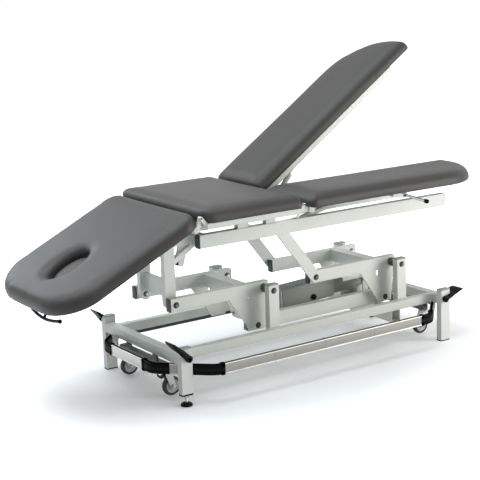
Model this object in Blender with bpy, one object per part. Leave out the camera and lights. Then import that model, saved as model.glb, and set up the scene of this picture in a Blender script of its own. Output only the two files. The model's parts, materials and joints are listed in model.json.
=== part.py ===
# Electric treatment couch: head section, seat and two leg sections on a parallelogram lift.
# Metres, +Z up, floor at Z 0. The head end points to -X and the near side to -Y.
import bpy
import bmesh
from math import acos, atan2, cos, hypot, pi, radians, sin
from mathutils import Matrix, Vector

for leftover in list(bpy.data.objects):
    bpy.data.objects.remove(leftover, do_unlink=True)

HEAD, FOOT = -1, 1
NEAR, FAR = -1, 1
SIDE_NAMES = {NEAR: "near", FAR: "far"}
END_NAMES = {HEAD: "head", FOOT: "foot"}

# Clearances
GAP = 0.0003  # between faces that meet
RUN = 0.0004  # round a turning pin
WELD = 0.0005  # how far welded members run into each other
LOOSE = 0.001  # round a pin that closes a linkage
PIN_SHORT = 0.001  # how far a pin stops short of the far face
OVERCUT = 0.01  # how far a cutter runs past the face it opens

# Floor frame
BASE_LENGTH = 1.323
BASE_WIDTH = 0.605
POST_LONG = 0.0475
POST_WIDE = 0.0275
POST_TOP = 0.220
TUBE_WALL = 0.0025
RAIL_TOP = 0.195
RAIL_TALL = 0.036
END_RAIL_WIDE = 0.040
SIDE_RAIL_WIDE = 0.030
FOOT_THICK = 0.004
FOOT_PLUG = 0.025
LEVEL_GAP = 0.045  # from the floor disc's underside to the levelled post
LEVEL_DISC_R = 0.024
LEVEL_DISC_THICK = 0.010
LEVEL_ROD_R = 0.005
LEVEL_ROD_RISE = 0.040
LEVEL_NUT_R = 0.009
LEVEL_NUT_THICK = 0.006
LEVEL_PLATE = 0.006

# Lift
LIFT_HEAD_X = -0.176
LIFT_SPACING = 0.652
PIVOT_Z = 0.341
ARM_LENGTH = 0.400
ARM_TALL = 0.050
ARM_WIDE = 0.028
ARM_INNER = 0.115
ARM_PAST_TIP = 0.024
ARM_PAST_PIVOT = 0.020
HUB_R = 0.016
HUB_LONG = 0.0415
PIN_R = 0.008
UPRIGHT_LONG = 0.0475
UPRIGHT_WIDE = 0.028
UPRIGHT_RISE = 0.022
UPRIGHT_SOLID = 0.050
ARM_TUBE_BACK = 0.115
ARM_TUBE_LONG = 0.050
GUSSET_THICK = 0.006
GUSSET_BACK = 0.165
GUSSET_FRONT = 0.018
GUSSET_DROP = 0.165
GUSSET_FOOT = 0.065
WINDOW_BACK = 0.072
WINDOW_DROP = 0.028
WINDOW_LONG = 0.015
WINDOW_TALL = 0.026
TIE_BACK = 0.030
TIE_DROP = 0.148
TIE_TALL = 0.055
TIE_WIDE = 0.030
TIE_Y = 0.080
TIE_PIN_R = 0.006
TIE_COLLAR_R = 0.011

# Actuator
CRANK_BACK = 0.030
CRANK_DROP = 0.135
CRANK_R = 0.014
CRANK_THICK = 0.006
ACTUATOR_BACK = 0.036
ACTUATOR_Z = 0.235
ACTUATOR_PIN_R = 0.006
ACTUATOR_EYE_R = 0.014
ACTUATOR_EYE_HALF = 0.0135
ACTUATOR_NECK_R = 0.019
ACTUATOR_BOX_FROM = 0.180
ACTUATOR_BOX_TO = 0.460
ACTUATOR_BOX_UP = 0.068
ACTUATOR_BOX_DOWN = 0.020
ACTUATOR_BOX_HALF = 0.036
ACTUATOR_ROD_R = 0.0105
ACTUATOR_ROD_FROM = 0.120
ACTUATOR_BORE_FROM = 0.045
MOUNT_BAR_LONG = 0.046
MOUNT_BAR_TALL = 0.058
MOUNT_BAR_SHIFT = 0.010
CONTROL_LONG = 0.090
CONTROL_WIDE = 0.060
CONTROL_TALL = 0.055
CONTROL_Y = 0.045

# Upper frame
UPPER_RAIL_TOP = 0.592
UPPER_RAIL_TALL = 0.051
UPPER_RAIL_WIDE = 0.030
UPPER_HEAD_X = -0.467
UPPER_FOOT_X = 0.771
LINK_THICK = 0.0085
LINK_CLEAR = 0.0015
LINK_HALF = 0.024
LINK_TOP_X = -0.080
DROP_LEG_LONG = 0.047
DROP_LEG_WIDE = 0.024
DROP_LEG_INNER = 0.081
DROP_LEG_TOP = 0.588
DROP_COLLAR_R = 0.013
DROP_PLATE_RISE = 0.018
DROP_PLATE_TALL = 0.070
DROP_PLATE_THICK = 0.008
STUB_TALL = 0.034
TOP_TUBE_BACK = 0.007
TOP_TUBE_LONG = 0.040
TOP_TUBE_TALL = 0.043
TOP_TUBE_SINK = 0.004
BRACE_R = 0.010
BRACE_RISE = 0.140
SPACER_LONG = 0.045
SEAT_BAR_LONG = 0.050
SEAT_BAR_MID = 0.282  # from the head hinge to the middle cross bar
STRIP_TALL = 0.022
STRIP_WIDE = 0.025
STRIP_OUTER = 0.310
STRIP_FROM = 0.022

# Pads
PAD_HALF = 0.329
PAD_THICK = 0.055
PAD_EDGE = 0.020
PAD_CROWN = 0.005
PAD_TUCK = 0.012  # how far the side draws in below
PAD_PULL = 0.0015  # how far a long side bows in
PAD_CORNER = 0.020
HINGE_CORNER = 0.040  # beside the head hinge
SEAT_TOP = 0.726
HEAD_HINGE_X = -0.552
HEAD_HINGE_DROP = 0.034  # from the seat's top to the head hinge
HEAD_PAD_GAP = 0.0045
HEAD_HALF = 0.320
HEAD_LONG = 0.625
HEAD_CORNER_X = 0.150
HEAD_CORNER_Y = 0.180
HEAD_DROOP = 25.5
FACE_FROM_HINGE = 0.420
FACE_HALF_X = 0.080
FACE_HALF_Y = 0.092
FACE_ROLL = 0.026
PLUG_SINK = 0.016
PLUG_GAP = 0.0005
SEAT_LONG = 0.446
LEG_HINGE_X = -0.080
LEG_HINGE_Z = 0.660
LEG_PAD_FROM = 0.020
LEG_LONG = 0.980
LEG_PAD_RISE = 0.004
LEG_SPLIT = 0.003
LEG_CORNER_X = 0.250
LEG_CORNER_Y = 0.270
LEG_TIP_R = 0.030
LEG_RAISED = 34

# Section hinges
EYE_R = 0.0065
EYE_WIDE = 0.0075
EYE_Y = 0.289
EYE_PIN_R = 0.0035
EYE_ROOM = 0.0085
EYE_NOTCH = 0.005  # how far the pads' notches run past the straps
STRAP_R = 0.008
LEG_EYE_R = 0.009
LEG_EYE_WIDE = 0.008
LEG_PIN_R = 0.005
LEG_EYE_Y = 0.0125
LEG_OUTER_EYE_Y = 0.270

# Frames under the head and leg pads
HEAD_BAR_FROM = 0.018
HEAD_BAR_LONG = 0.025
HEAD_BAR_STAY = 0.140  # where the bar that carries the stay starts
FACE_BAR_GAP = 0.010  # from the face hole to the bars before and behind it
HEAD_SPINE_INNER = 0.135
HEAD_SPINE_TO = 0.575
LEG_SPINE_INNER = 0.012
LEG_SPINE_FROM = 0.030
LEG_SPINE_TO = 0.840
LEG_HINGE_BAR_TO = 0.285
LEG_MID_BAR_FROM = 0.470
LEG_MID_BAR_LONG = 0.030
LEG_MID_BAR_TO = 0.262

# Stays
STAY_BODY_R = 0.011
STAY_ROD_R = 0.004
STAY_EYE_R = 0.010
STAY_EYE_HALF = 0.0115
STAY_PIN_R = 0.005
STAY_LUG_GAP = 0.001
STAY_LUG_THICK = 0.004
STAY_LUG_R = 0.012
STAY_Y = 0.100
STAY_LOW_X = 0.100  # lower eye, from the leg hinge
STAY_LOW_DROP = 0.085
STAY_HIGH_X = 0.400  # upper eye, from the leg hinge with the leg flat
STAY_HIGH_DROP = 0.020
STAY_BODY_LONG = 0.190
STAY_ROD_BACK = 0.250
HEAD_STAY_LOW_X = 0.082  # lower eye, from the head hinge
HEAD_STAY_LOW_DROP = 0.232
HEAD_STAY_HIGH_X = 0.150
HEAD_STAY_HIGH_DROP = 0.056
HEAD_STAY_BODY_LONG = 0.175
HEAD_STAY_ROD_BACK = 0.190

# Handles
LEVER_X = 0.520  # lever pivot from the leg hinge
LEVER_DROP = 0.022
LEVER_Y = 0.250
LEVER_EYE_R = 0.008
LEVER_EYE_HALF = 0.003
LEVER_ROD_R = 0.003
LEVER_PIN_R = 0.003
LEVER_STRAIGHT = 0.024
LEVER_REACH = 0.100
LEVER_OUT = 0.050
LEVER_FALL = 0.031
KNOB_R = 0.013
HANDLE_FROM_HINGE = 0.560
HANDLE_ROD_R = 0.006
HANDLE_REACH = 0.040
HANDLE_FALL = 0.035
HANDLE_HALF = 0.110
HANDLE_BALL_R = 0.013

# Foot switch ring
RING_OUT_X = 0.0525  # from the posts' outer faces to the ring's centre line
RING_OUT_Y = 0.0515
RING_CUT = 0.212
RING_BEND = 0.050
RING_END = 0.022
RING_THICK = 0.018
RING_BOTTOM = 0.113
RING_TALL = 0.042
RING_PIN_R = 0.004
RING_PIN_DIP = 0.006
GUIDE_LONG = 0.026
GUIDE_THICK = 0.005

# Castors
SHAFT_IN = 0.0295  # from the post's outer face
SHAFT_Z = 0.183
SHAFT_R = 0.006
CRANKPIN_REACH = 0.016
CRANKPIN_R = 0.0045
CRANKPIN_TILT = 15
CRANKPIN_WIDE = 0.014
CRANKPIN_Y = 0.100
CRANKPIN_GAP = 0.0005
CARRIER_WIDE = 0.028
CARRIER_TALL = 0.025
CARRIER_HALF = 0.174
CARRIER_BOTTOM = 0.106
TONGUE_CLEAR = 0.002
CASTOR_Y = 0.160
STEM_R = 0.008
STEM_SHORT = 0.002
FORK_PLATE_R = 0.020
FORK_PLATE_THICK = 0.009
FORK_HALF = 0.0155
FORK_THICK = 0.003
FORK_R = 0.012
FORK_TRAIL = 0.018
WHEEL_R = 0.0375
WHEEL_HALF = 0.011
WHEEL_LIFT = 0.004
WHEEL_ROUND = 0.004
WHEEL_HUB_R = 0.024
WHEEL_DISH = 0.003
AXLE_R = 0.005
PEDAL_WIDE = 0.015
PEDAL_HUB_R = 0.013
PEDAL_ARM_R = 0.008
PEDAL_TREAD_LONG = 0.044
PEDAL_TREAD_WIDE = 0.066
PEDAL_REACH = {HEAD: 0.132, FOOT: 0.098}
PEDAL_TILT = {HEAD: 45, FOOT: 28}

# Places worked out from the sizes above
X_END = BASE_LENGTH / 2
Y_POST = BASE_WIDTH / 2
RING_X = X_END + RING_OUT_X
RING_Y = Y_POST + RING_OUT_Y
Y_POST_IN = Y_POST - POST_WIDE
RAIL_BOTTOM = RAIL_TOP - RAIL_TALL
CHANNEL_OUT = X_END - WELD - TUBE_WALL
CHANNEL_IN = X_END - END_RAIL_WIDE + TUBE_WALL
CHANNEL_MID = (CHANNEL_OUT + CHANNEL_IN) / 2
ARM_OUTER = ARM_INNER + ARM_WIDE
UPRIGHT_INNER = ARM_OUTER + HUB_LONG
UPRIGHT_OUTER = UPRIGHT_INNER + UPRIGHT_WIDE
SIDE_RAIL_INNER = UPRIGHT_OUTER - WELD
LIFT_X = {HEAD: LIFT_HEAD_X, FOOT: LIFT_HEAD_X + LIFT_SPACING}
TIP_X = {end: x - ARM_LENGTH for end, x in LIFT_X.items()}
TIE_X = {end: x - TIE_BACK for end, x in LIFT_X.items()}
TIE_Z = PIVOT_Z - TIE_DROP
GUSSET_OUTER = ARM_OUTER - WELD
GUSSET_INNER = GUSSET_OUTER - GUSSET_THICK
LINK_INNER = ARM_OUTER + LINK_CLEAR
UPPER_OUTER = LINK_INNER + LINK_THICK
UPPER_INNER = UPPER_OUTER - UPPER_RAIL_WIDE
UPPER_BOTTOM = UPPER_RAIL_TOP - UPPER_RAIL_TALL
DROP_LEG_OUTER = DROP_LEG_INNER + DROP_LEG_WIDE
SEAT_BOTTOM = SEAT_TOP - PAD_THICK
SEAT_STRIP_TOP = SEAT_BOTTOM - GAP
SEAT_STRIP_BOTTOM = SEAT_STRIP_TOP - STRIP_TALL
SEAT_STRAP_ROOT = (HEAD_HINGE_X + STRIP_FROM + STRAP_R, SEAT_STRIP_BOTTOM + STRAP_R + WELD)
HEAD_STRAP_ROOT = (HEAD_HINGE_X - HEAD_BAR_FROM - STRAP_R, SEAT_STRIP_BOTTOM + STRAP_R + WELD)
SEAT_STRAP_Y = EYE_Y + EYE_WIDE + GAP
STRIP_INNER = STRIP_OUTER - STRIP_WIDE
HEAD_HINGE_Z = SEAT_TOP - HEAD_HINGE_DROP
HINGE = (HEAD_HINGE_X, HEAD_HINGE_Z)
LEG_HINGE = (LEG_HINGE_X, LEG_HINGE_Z)
SEAT_FROM = HEAD_HINGE_X + HEAD_PAD_GAP
SEAT_TO = SEAT_FROM + SEAT_LONG
LEG_BOTTOM = LEG_HINGE_Z + LEG_PAD_RISE
LEG_STRIP_TOP = LEG_BOTTOM - GAP
LEG_STRIP_BOTTOM = LEG_STRIP_TOP - STRIP_TALL
CRANK = (LIFT_X[HEAD] - CRANK_BACK, PIVOT_Z - CRANK_DROP)
ACTUATOR = (LIFT_X[FOOT] - ACTUATOR_BACK, ACTUATOR_Z)
MOUNT_BAR_TO = LIFT_X[FOOT] - MOUNT_BAR_SHIFT
MOUNT_BAR_TOP = RAIL_BOTTOM - GAP
STAY_LOW = (LEG_HINGE_X + STAY_LOW_X, LEG_HINGE_Z - STAY_LOW_DROP)
HEAD_STAY_LOW = (HEAD_HINGE_X + HEAD_STAY_LOW_X, HEAD_HINGE_Z - HEAD_STAY_LOW_DROP)
LUG_INNER = STAY_EYE_HALF + STAY_LUG_GAP
LUG_OUTER = LUG_INNER + STAY_LUG_THICK
HEAD_BARS = (
    HEAD_BAR_FROM,
    HEAD_BAR_STAY,
    FACE_FROM_HINGE - FACE_HALF_X - FACE_BAR_GAP - HEAD_BAR_LONG,
    FACE_FROM_HINGE + FACE_HALF_X + FACE_BAR_GAP,
)
SHAFT_X = X_END - SHAFT_IN
RING_SUM = RING_X + RING_Y - RING_CUT
RING_PIN_Y = RING_SUM - CHANNEL_MID
RING_TOP = RING_BOTTOM + RING_TALL
CRANKPIN_FALL = CRANKPIN_REACH * sin(radians(CRANKPIN_TILT)) - CRANKPIN_R
TONGUE_TOP = SHAFT_Z + CRANKPIN_FALL - CRANKPIN_GAP
CARRIER_TOP = CARRIER_BOTTOM + CARRIER_TALL
WHEEL_Z = WHEEL_LIFT + WHEEL_R
SEAT_BAR_STARTS = (
    HEAD_HINGE_X + STRIP_FROM,
    HEAD_HINGE_X + SEAT_BAR_MID - SEAT_BAR_LONG / 2,
    SEAT_TO - SEAT_BAR_LONG - STRIP_FROM / 2,
)

FINISHES = {
    "powder": ((0.80, 0.81, 0.79), 0.45, 0.0),
    "vinyl": ((0.16, 0.16, 0.17), 0.55, 0.0),
    "plug_vinyl": ((0.22, 0.22, 0.23), 0.55, 0.0),
    "aluminium": ((0.66, 0.67, 0.68), 0.35, 1.0),
    "black": ((0.02, 0.02, 0.022), 0.5, 0.0),
    "grey": ((0.33, 0.34, 0.35), 0.5, 0.0),
    "zinc": ((0.62, 0.63, 0.64), 0.35, 1.0),
    "tyre": ((0.06, 0.06, 0.065), 0.7, 0.0),
}
PIN_SIDES = 12
TUBE_SIDES = 18
ARC_STEPS = 5
CORNER_POINTS = 8
EDGE_POINTS = 3


def make(bm):
    bmesh.ops.recalc_face_normals(bm, faces=bm.faces)
    mesh = bpy.data.meshes.new("solid")
    bm.to_mesh(mesh)
    bm.free()
    obj = bpy.data.objects.new("solid", mesh)
    bpy.context.scene.collection.objects.link(obj)
    return obj


def loft(rings, endless=False):
    # Skins equal rings of points; an endless loft closes on itself, any other is capped.
    bm = bmesh.new()
    loops = [[bm.verts.new(point) for point in ring] for ring in rings]
    pairs = list(zip(loops, loops[1:]))
    if endless:
        pairs.append((loops[-1], loops[0]))
    else:
        bm.faces.new(loops[0])
        bm.faces.new(loops[-1])
    for low, high in pairs:
        for i in range(len(low)):
            j = (i + 1) % len(low)
            bm.faces.new((low[i], low[j], high[j], high[i]))
    return make(bm)


def block(a, b):
    low = [min(pair) for pair in zip(a, b)]
    high = [max(pair) for pair in zip(a, b)]
    square = [(low[0], low[1]), (high[0], low[1]), (high[0], high[1]), (low[0], high[1])]
    return loft([[(x, y, z) for x, y in square] for z in (low[2], high[2])])


def prism(outline, y0, y1):
    # An outline in X and Z, carried along Y.
    return loft([[(x, y, z) for x, z in outline] for y in (y0, y1)])


def slab(outline, z0, z1):
    # An outline in X and Y, carried along Z.
    return loft([[(x, y, z) for x, y in outline] for z in (z0, z1)])


def rod(start, end, radius, sides=PIN_SIDES):
    start, end = Vector(start), Vector(end)
    turn = (end - start).to_track_quat("Z", "Y").to_matrix()
    circle = [
        turn @ Vector((radius * cos(2 * pi * i / sides), radius * sin(2 * pi * i / sides), 0))
        for i in range(sides)
    ]
    return loft([[centre + point for point in circle] for centre in (start, end)])


def pin(place, y0, y1, radius, sides=PIN_SIDES):
    return rod((place[0], y0, place[1]), (place[0], y1, place[1]), radius, sides)


def ball(centre, radius, sides=10, steps=6):
    bm = bmesh.new()
    bmesh.ops.create_uvsphere(bm, u_segments=sides, v_segments=steps, radius=radius)
    bmesh.ops.translate(bm, verts=bm.verts, vec=centre)
    return make(bm)


def arc(centre, radius, start, end, steps=ARC_STEPS):
    angles = [start + (end - start) * i / steps for i in range(steps + 1)]
    return [(centre[0] + radius * cos(a), centre[1] + radius * sin(a)) for a in angles]


def lug(p, q, p_radius, q_radius):
    # The outline round two discs and the tangents between them.
    along = atan2(q[1] - p[1], q[0] - p[0])
    spread = acos((p_radius - q_radius) / hypot(q[0] - p[0], q[1] - p[1]))
    near_q = arc(q, q_radius, along - spread, along + spread)
    near_p = arc(p, p_radius, along + spread, along + 2 * pi - spread)
    return near_q + near_p


def slanted_bar(tip, top, half):
    # A bar with a round end at the tip, cut level at the height of the top point.
    along = atan2(top[1] - tip[1], top[0] - tip[0])
    outline = arc(tip, half, along + pi / 2, along + 3 * pi / 2)
    for side in (-1, 1):
        x = tip[0] - side * half * sin(along)
        z = tip[1] + side * half * cos(along)
        outline.append((x + (top[1] - z) / sin(along) * cos(along), top[1]))
    return outline


def combine(target, tools, operation):
    for tool in tools:
        step = target.modifiers.new("step", "BOOLEAN")
        step.operation = operation
        step.solver = "EXACT"
        step.object = tool
        graph = bpy.context.evaluated_depsgraph_get()
        mesh = bpy.data.meshes.new_from_object(target.evaluated_get(graph))
        target.modifiers.remove(step)
        target.data = mesh
        bpy.data.objects.remove(tool, do_unlink=True)
    return target


def join(first, *others):
    return combine(first, others, "UNION")


def cut(target, *tools):
    return combine(target, tools, "DIFFERENCE")


def both(y0, y1):
    # The same span of Y on the near and on the far side.
    return [(side * y0, side * y1) for side in (NEAR, FAR)]


flat_places = {}


def joint(name, place, parent=None, lift_angle=0):
    # An empty on a joint's axis. A positive angle about +Y raises what points to -X.
    empty = bpy.data.objects.new(name, None)
    empty.empty_display_size = 0.05
    bpy.context.scene.collection.objects.link(empty)
    flat_places[name] = Vector(place)
    empty.parent = parent
    empty.location = Vector(place) - (flat_places[parent.name] if parent else Vector())
    empty.rotation_euler = (0, radians(lift_angle), 0)
    return empty


def piece(name, obj, body, finish):
    # Names a solid, hangs it on its body's empty and gives it its own material.
    obj.name = name
    obj.data.name = name
    obj.data.transform(Matrix.Translation(-flat_places[body.name]))
    obj.parent = body
    colour, roughness, metallic = FINISHES[finish]
    material = bpy.data.materials.new(name)
    material.use_nodes = True
    shader = material.node_tree.nodes["Principled BSDF"]
    shader.inputs["Base Color"].default_value = (*colour, 1.0)
    shader.inputs["Roughness"].default_value = roughness
    shader.inputs["Metallic"].default_value = metallic
    obj.data.materials.clear()
    obj.data.materials.append(material)
    obj.data.shade_smooth()
    obj.data.set_sharp_from_angle(angle=radians(35))


def turned(place, centre, angle):
    # Where a point in X and Z goes when its section is turned by an angle about +Y.
    x, z = place[0] - centre[0], place[1] - centre[1]
    c, s = cos(radians(angle)), sin(radians(angle))
    return (centre[0] + x * c + z * s, centre[1] - x * s + z * c)


# Floor frame
def end_frame(end):
    frame = block(
        (end * (X_END - WELD), -Y_POST_IN - WELD, RAIL_BOTTOM),
        (end * (X_END - END_RAIL_WIDE), Y_POST_IN + WELD, RAIL_TOP),
    )
    hollows = []
    for side in (NEAR, FAR):
        levelled = (end, side) == (HEAD, NEAR)
        bottom = LEVEL_GAP if levelled else FOOT_THICK + GAP
        hollow_from = bottom + LEVEL_PLATE if levelled else bottom - OVERCUT
        join(frame, block(
            (end * X_END, side * Y_POST, bottom),
            (end * (X_END - POST_LONG), side * Y_POST_IN, POST_TOP),
        ))
        hollows.append(block(
            (end * (X_END - TUBE_WALL), side * (Y_POST - TUBE_WALL), hollow_from),
            (end * (X_END - POST_LONG + TUBE_WALL), side * (Y_POST_IN + TUBE_WALL), POST_TOP - TUBE_WALL),
        ))
        if levelled:
            centre = (end * (X_END - POST_LONG / 2), side * (Y_POST - POST_WIDE / 2))
            hollows.append(rod(
                (*centre, bottom - OVERCUT),
                (*centre, bottom + LEVEL_PLATE + OVERCUT),
                LEVEL_ROD_R + RUN,
            ))
    hollows.append(block(
        (end * CHANNEL_OUT, -Y_POST_IN + WELD, RAIL_BOTTOM - OVERCUT),
        (end * CHANNEL_IN, Y_POST_IN - WELD, RAIL_TOP - TUBE_WALL),
    ))
    hollows.append(pin((end * SHAFT_X, SHAFT_Z), -Y_POST - OVERCUT, Y_POST + OVERCUT, SHAFT_R + RUN))
    cut(frame, *hollows)
    for side in (NEAR, FAR):
        place = (end * CHANNEL_MID, side * RING_PIN_Y)
        guide = block(
            (end * (CHANNEL_OUT + WELD), place[1] - GUIDE_LONG / 2, RAIL_BOTTOM + WELD),
            (end * (CHANNEL_IN - WELD), place[1] + GUIDE_LONG / 2, RAIL_BOTTOM + GUIDE_THICK),
        )
        pin_bottom, pin_top = RING_BOTTOM - RING_PIN_DIP, RAIL_BOTTOM + GUIDE_THICK / 2
        guide_pin = rod((*place, pin_bottom), (*place, pin_top), RING_PIN_R)
        join(frame, guide, guide_pin)
    return frame


def side_frame(side):
    rail_half = X_END - END_RAIL_WIDE - GAP
    rail_outer = SIDE_RAIL_INNER + SIDE_RAIL_WIDE
    frame = block(
        (-rail_half, side * SIDE_RAIL_INNER, RAIL_BOTTOM),
        (rail_half, side * rail_outer, RAIL_TOP),
    )
    hollows = [block(
        (-rail_half - OVERCUT, side * (SIDE_RAIL_INNER + TUBE_WALL), RAIL_BOTTOM + TUBE_WALL),
        (rail_half + OVERCUT, side * (rail_outer - TUBE_WALL), RAIL_TOP - TUBE_WALL),
    )]
    pins = []
    half = UPRIGHT_LONG / 2
    hollow_top = PIVOT_Z + UPRIGHT_RISE - UPRIGHT_SOLID
    for x in LIFT_X.values():
        join(frame, block(
            (x - half, side * UPRIGHT_INNER, RAIL_BOTTOM + WELD),
            (x + half, side * UPRIGHT_OUTER, PIVOT_Z + UPRIGHT_RISE),
        ))
        hollows.append(block(
            (x - half + TUBE_WALL, side * (UPRIGHT_INNER + TUBE_WALL), RAIL_BOTTOM - OVERCUT),
            (x + half - TUBE_WALL, side * (UPRIGHT_OUTER - TUBE_WALL), hollow_top),
        ))
        pins.append(pin((x, PIVOT_Z), side * (UPRIGHT_INNER + WELD), side * (ARM_INNER + PIN_SHORT), PIN_R))
    cut(frame, *hollows)
    return join(frame, *pins)


def foot_cap(end, side):
    cap = block(
        (end * X_END, side * Y_POST, 0),
        (end * (X_END - POST_LONG), side * Y_POST_IN, FOOT_THICK),
    )
    rim = TUBE_WALL + GAP
    return join(cap, block(
        (end * (X_END - rim), side * (Y_POST - rim), FOOT_THICK - WELD),
        (end * (X_END - POST_LONG + rim), side * (Y_POST_IN + rim), FOOT_THICK + FOOT_PLUG),
    ))


def levelling_foot():
    place = (HEAD * (X_END - POST_LONG / 2), NEAR * (Y_POST - POST_WIDE / 2))
    disc = rod((*place, 0), (*place, LEVEL_DISC_THICK), LEVEL_DISC_R, TUBE_SIDES)
    stem = rod((*place, LEVEL_DISC_THICK - WELD), (*place, LEVEL_GAP + LEVEL_ROD_RISE), LEVEL_ROD_R)
    nut_top = LEVEL_GAP - GAP
    nut = rod((*place, nut_top - LEVEL_NUT_THICK), (*place, nut_top), LEVEL_NUT_R, 6)
    return join(disc, stem, nut)


def actuator_mount():
    x0 = MOUNT_BAR_TO - MOUNT_BAR_LONG
    bottom = MOUNT_BAR_TOP - MOUNT_BAR_TALL
    bar = block((x0, -UPRIGHT_OUTER, bottom), (MOUNT_BAR_TO, UPRIGHT_OUTER, MOUNT_BAR_TOP))
    cut(bar, block(
        (x0 + TUBE_WALL, -UPRIGHT_OUTER - OVERCUT, bottom + TUBE_WALL),
        (MOUNT_BAR_TO - TUBE_WALL, UPRIGHT_OUTER + OVERCUT, MOUNT_BAR_TOP - TUBE_WALL),
    ))
    root = (x0 + MOUNT_BAR_LONG / 2, MOUNT_BAR_TOP + CRANK_R / 2)
    outline = lug(ACTUATOR, root, ACTUATOR_EYE_R, CRANK_R)
    inner = ACTUATOR_EYE_HALF + GAP
    for y0, y1 in both(inner, inner + CRANK_THICK):
        join(bar, prism(outline, y0, y1))
    reach = inner + CRANK_THICK / 2
    return join(bar, pin(ACTUATOR, -reach, reach, ACTUATOR_PIN_R))


def control_box():
    middle = MOUNT_BAR_TO - MOUNT_BAR_LONG / 2
    return block(
        (middle - CONTROL_LONG / 2, CONTROL_Y, MOUNT_BAR_TOP + GAP),
        (middle + CONTROL_LONG / 2, CONTROL_Y + CONTROL_WIDE, MOUNT_BAR_TOP + GAP + CONTROL_TALL),
    )


# Lift
def rocker(end):
    x, half = LIFT_X[end], ARM_TALL / 2
    tip = (TIP_X[end], PIVOT_Z)
    arm_from, arm_to = TIP_X[end] - ARM_PAST_TIP, x + ARM_PAST_PIVOT
    tube_from = x - ARM_TUBE_BACK
    tube_to = tube_from + ARM_TUBE_LONG
    frame = block(
        (tube_from, -ARM_INNER - WELD, PIVOT_Z - half + WELD),
        (tube_to, ARM_INNER + WELD, PIVOT_Z + half - WELD),
    )
    hollows = []
    for y0, y1 in both(ARM_INNER, ARM_OUTER):
        join(frame, block((arm_from, y0, PIVOT_Z - half), (arm_to, y1, PIVOT_Z + half)))
    for y0, y1 in both(ARM_INNER + TUBE_WALL, ARM_OUTER - TUBE_WALL):
        hollows.append(block(
            (arm_from - OVERCUT, y0, PIVOT_Z - half + TUBE_WALL),
            (arm_to + OVERCUT, y1, PIVOT_Z + half - TUBE_WALL),
        ))
    arm_middle = ARM_INNER + ARM_WIDE / 2
    hollows.append(block(
        (tube_from + TUBE_WALL, -arm_middle, PIVOT_Z - half + WELD + TUBE_WALL),
        (tube_to - TUBE_WALL, arm_middle, PIVOT_Z + half - WELD - TUBE_WALL),
    ))
    cut(frame, *hollows)

    gusset_top = PIVOT_Z - half + TUBE_WALL / 2
    gusset = [
        (x - GUSSET_BACK, gusset_top),
        (x - GUSSET_FOOT, PIVOT_Z - GUSSET_DROP),
        (x, PIVOT_Z - GUSSET_DROP),
        (x + GUSSET_FRONT, gusset_top),
    ]
    window = (x - WINDOW_BACK, PIVOT_Z - WINDOW_DROP)
    for y0, y1 in both(GUSSET_INNER, GUSSET_OUTER):
        join(frame, prism(gusset, y0, y1))
    for y0, y1 in both(GUSSET_INNER - OVERCUT, GUSSET_OUTER + OVERCUT):
        cut(frame, block(
            (window[0] - WINDOW_LONG / 2, y0, window[1] - WINDOW_TALL),
            (window[0] + WINDOW_LONG / 2, y1, window[1]),
        ))
    for y0, y1 in both(ARM_OUTER - WELD, UPRIGHT_INNER - GAP):
        join(frame, pin((x, PIVOT_Z), y0, y1, HUB_R))
    for y0, y1 in both(ARM_INNER - OVERCUT, UPRIGHT_INNER + OVERCUT):
        cut(frame, pin((x, PIVOT_Z), y0, y1, PIN_R + RUN))
    tie_place = (TIE_X[end], TIE_Z)
    tie_span = both(GUSSET_INNER - OVERCUT, GUSSET_OUTER + OVERCUT)[0]
    tie_room = RUN if end == HEAD else LOOSE
    cut(frame, pin(tie_place, *tie_span, TIE_PIN_R + tie_room))

    if end == HEAD:
        for y0, y1 in both(ARM_INNER - OVERCUT, ARM_OUTER + OVERCUT):
            cut(frame, pin(tip, y0, y1, PIN_R + RUN))
        root = (tube_from + ARM_TUBE_LONG / 2, PIVOT_Z - half + CRANK_R)
        inner = ACTUATOR_EYE_HALF + GAP
        for y0, y1 in both(inner, inner + CRANK_THICK):
            join(frame, prism(lug(CRANK, root, CRANK_R, CRANK_R), y0, y1))
    else:
        for y0, y1 in both(ARM_OUTER - TUBE_WALL / 2, UPPER_OUTER - PIN_SHORT):
            join(frame, pin(tip, y0, y1, PIN_R))
    return frame


def tie_bar():
    x0, x1 = TIE_X[HEAD] - TIE_TALL / 2, TIE_X[FOOT] + TIE_TALL / 2
    low, high = TIE_Z - TIE_TALL / 2, TIE_Z + TIE_TALL / 2
    near_face = NEAR * (TIE_Y + TIE_WIDE)
    bar = block((x0, NEAR * TIE_Y, low), (x1, near_face, high))
    cut(bar, block(
        (x0 - OVERCUT, NEAR * (TIE_Y + TUBE_WALL), low + TUBE_WALL),
        (x1 + OVERCUT, NEAR * (TIE_Y + TIE_WIDE - TUBE_WALL), high - TUBE_WALL),
    ))
    for x in TIE_X.values():
        collar = pin((x, TIE_Z), near_face - NEAR * WELD, NEAR * (GUSSET_INNER - GAP), TIE_COLLAR_R)
        tip = pin((x, TIE_Z), near_face, NEAR * (GUSSET_OUTER - WELD), TIE_PIN_R)
        join(bar, collar, tip)
    return bar


# Actuator
rest_length = hypot(CRANK[0] - ACTUATOR[0], CRANK[1] - ACTUATOR[1])
actuator_way = ((CRANK[0] - ACTUATOR[0]) / rest_length, (CRANK[1] - ACTUATOR[1]) / rest_length)


def along_actuator(distance, up=0.0):
    # A point at a distance from the fixed pivot towards the crank, moved up square to that line.
    x = ACTUATOR[0] + distance * actuator_way[0] + up * actuator_way[1]
    z = ACTUATOR[1] + distance * actuator_way[1] - up * actuator_way[0]
    return (x, z)


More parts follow.
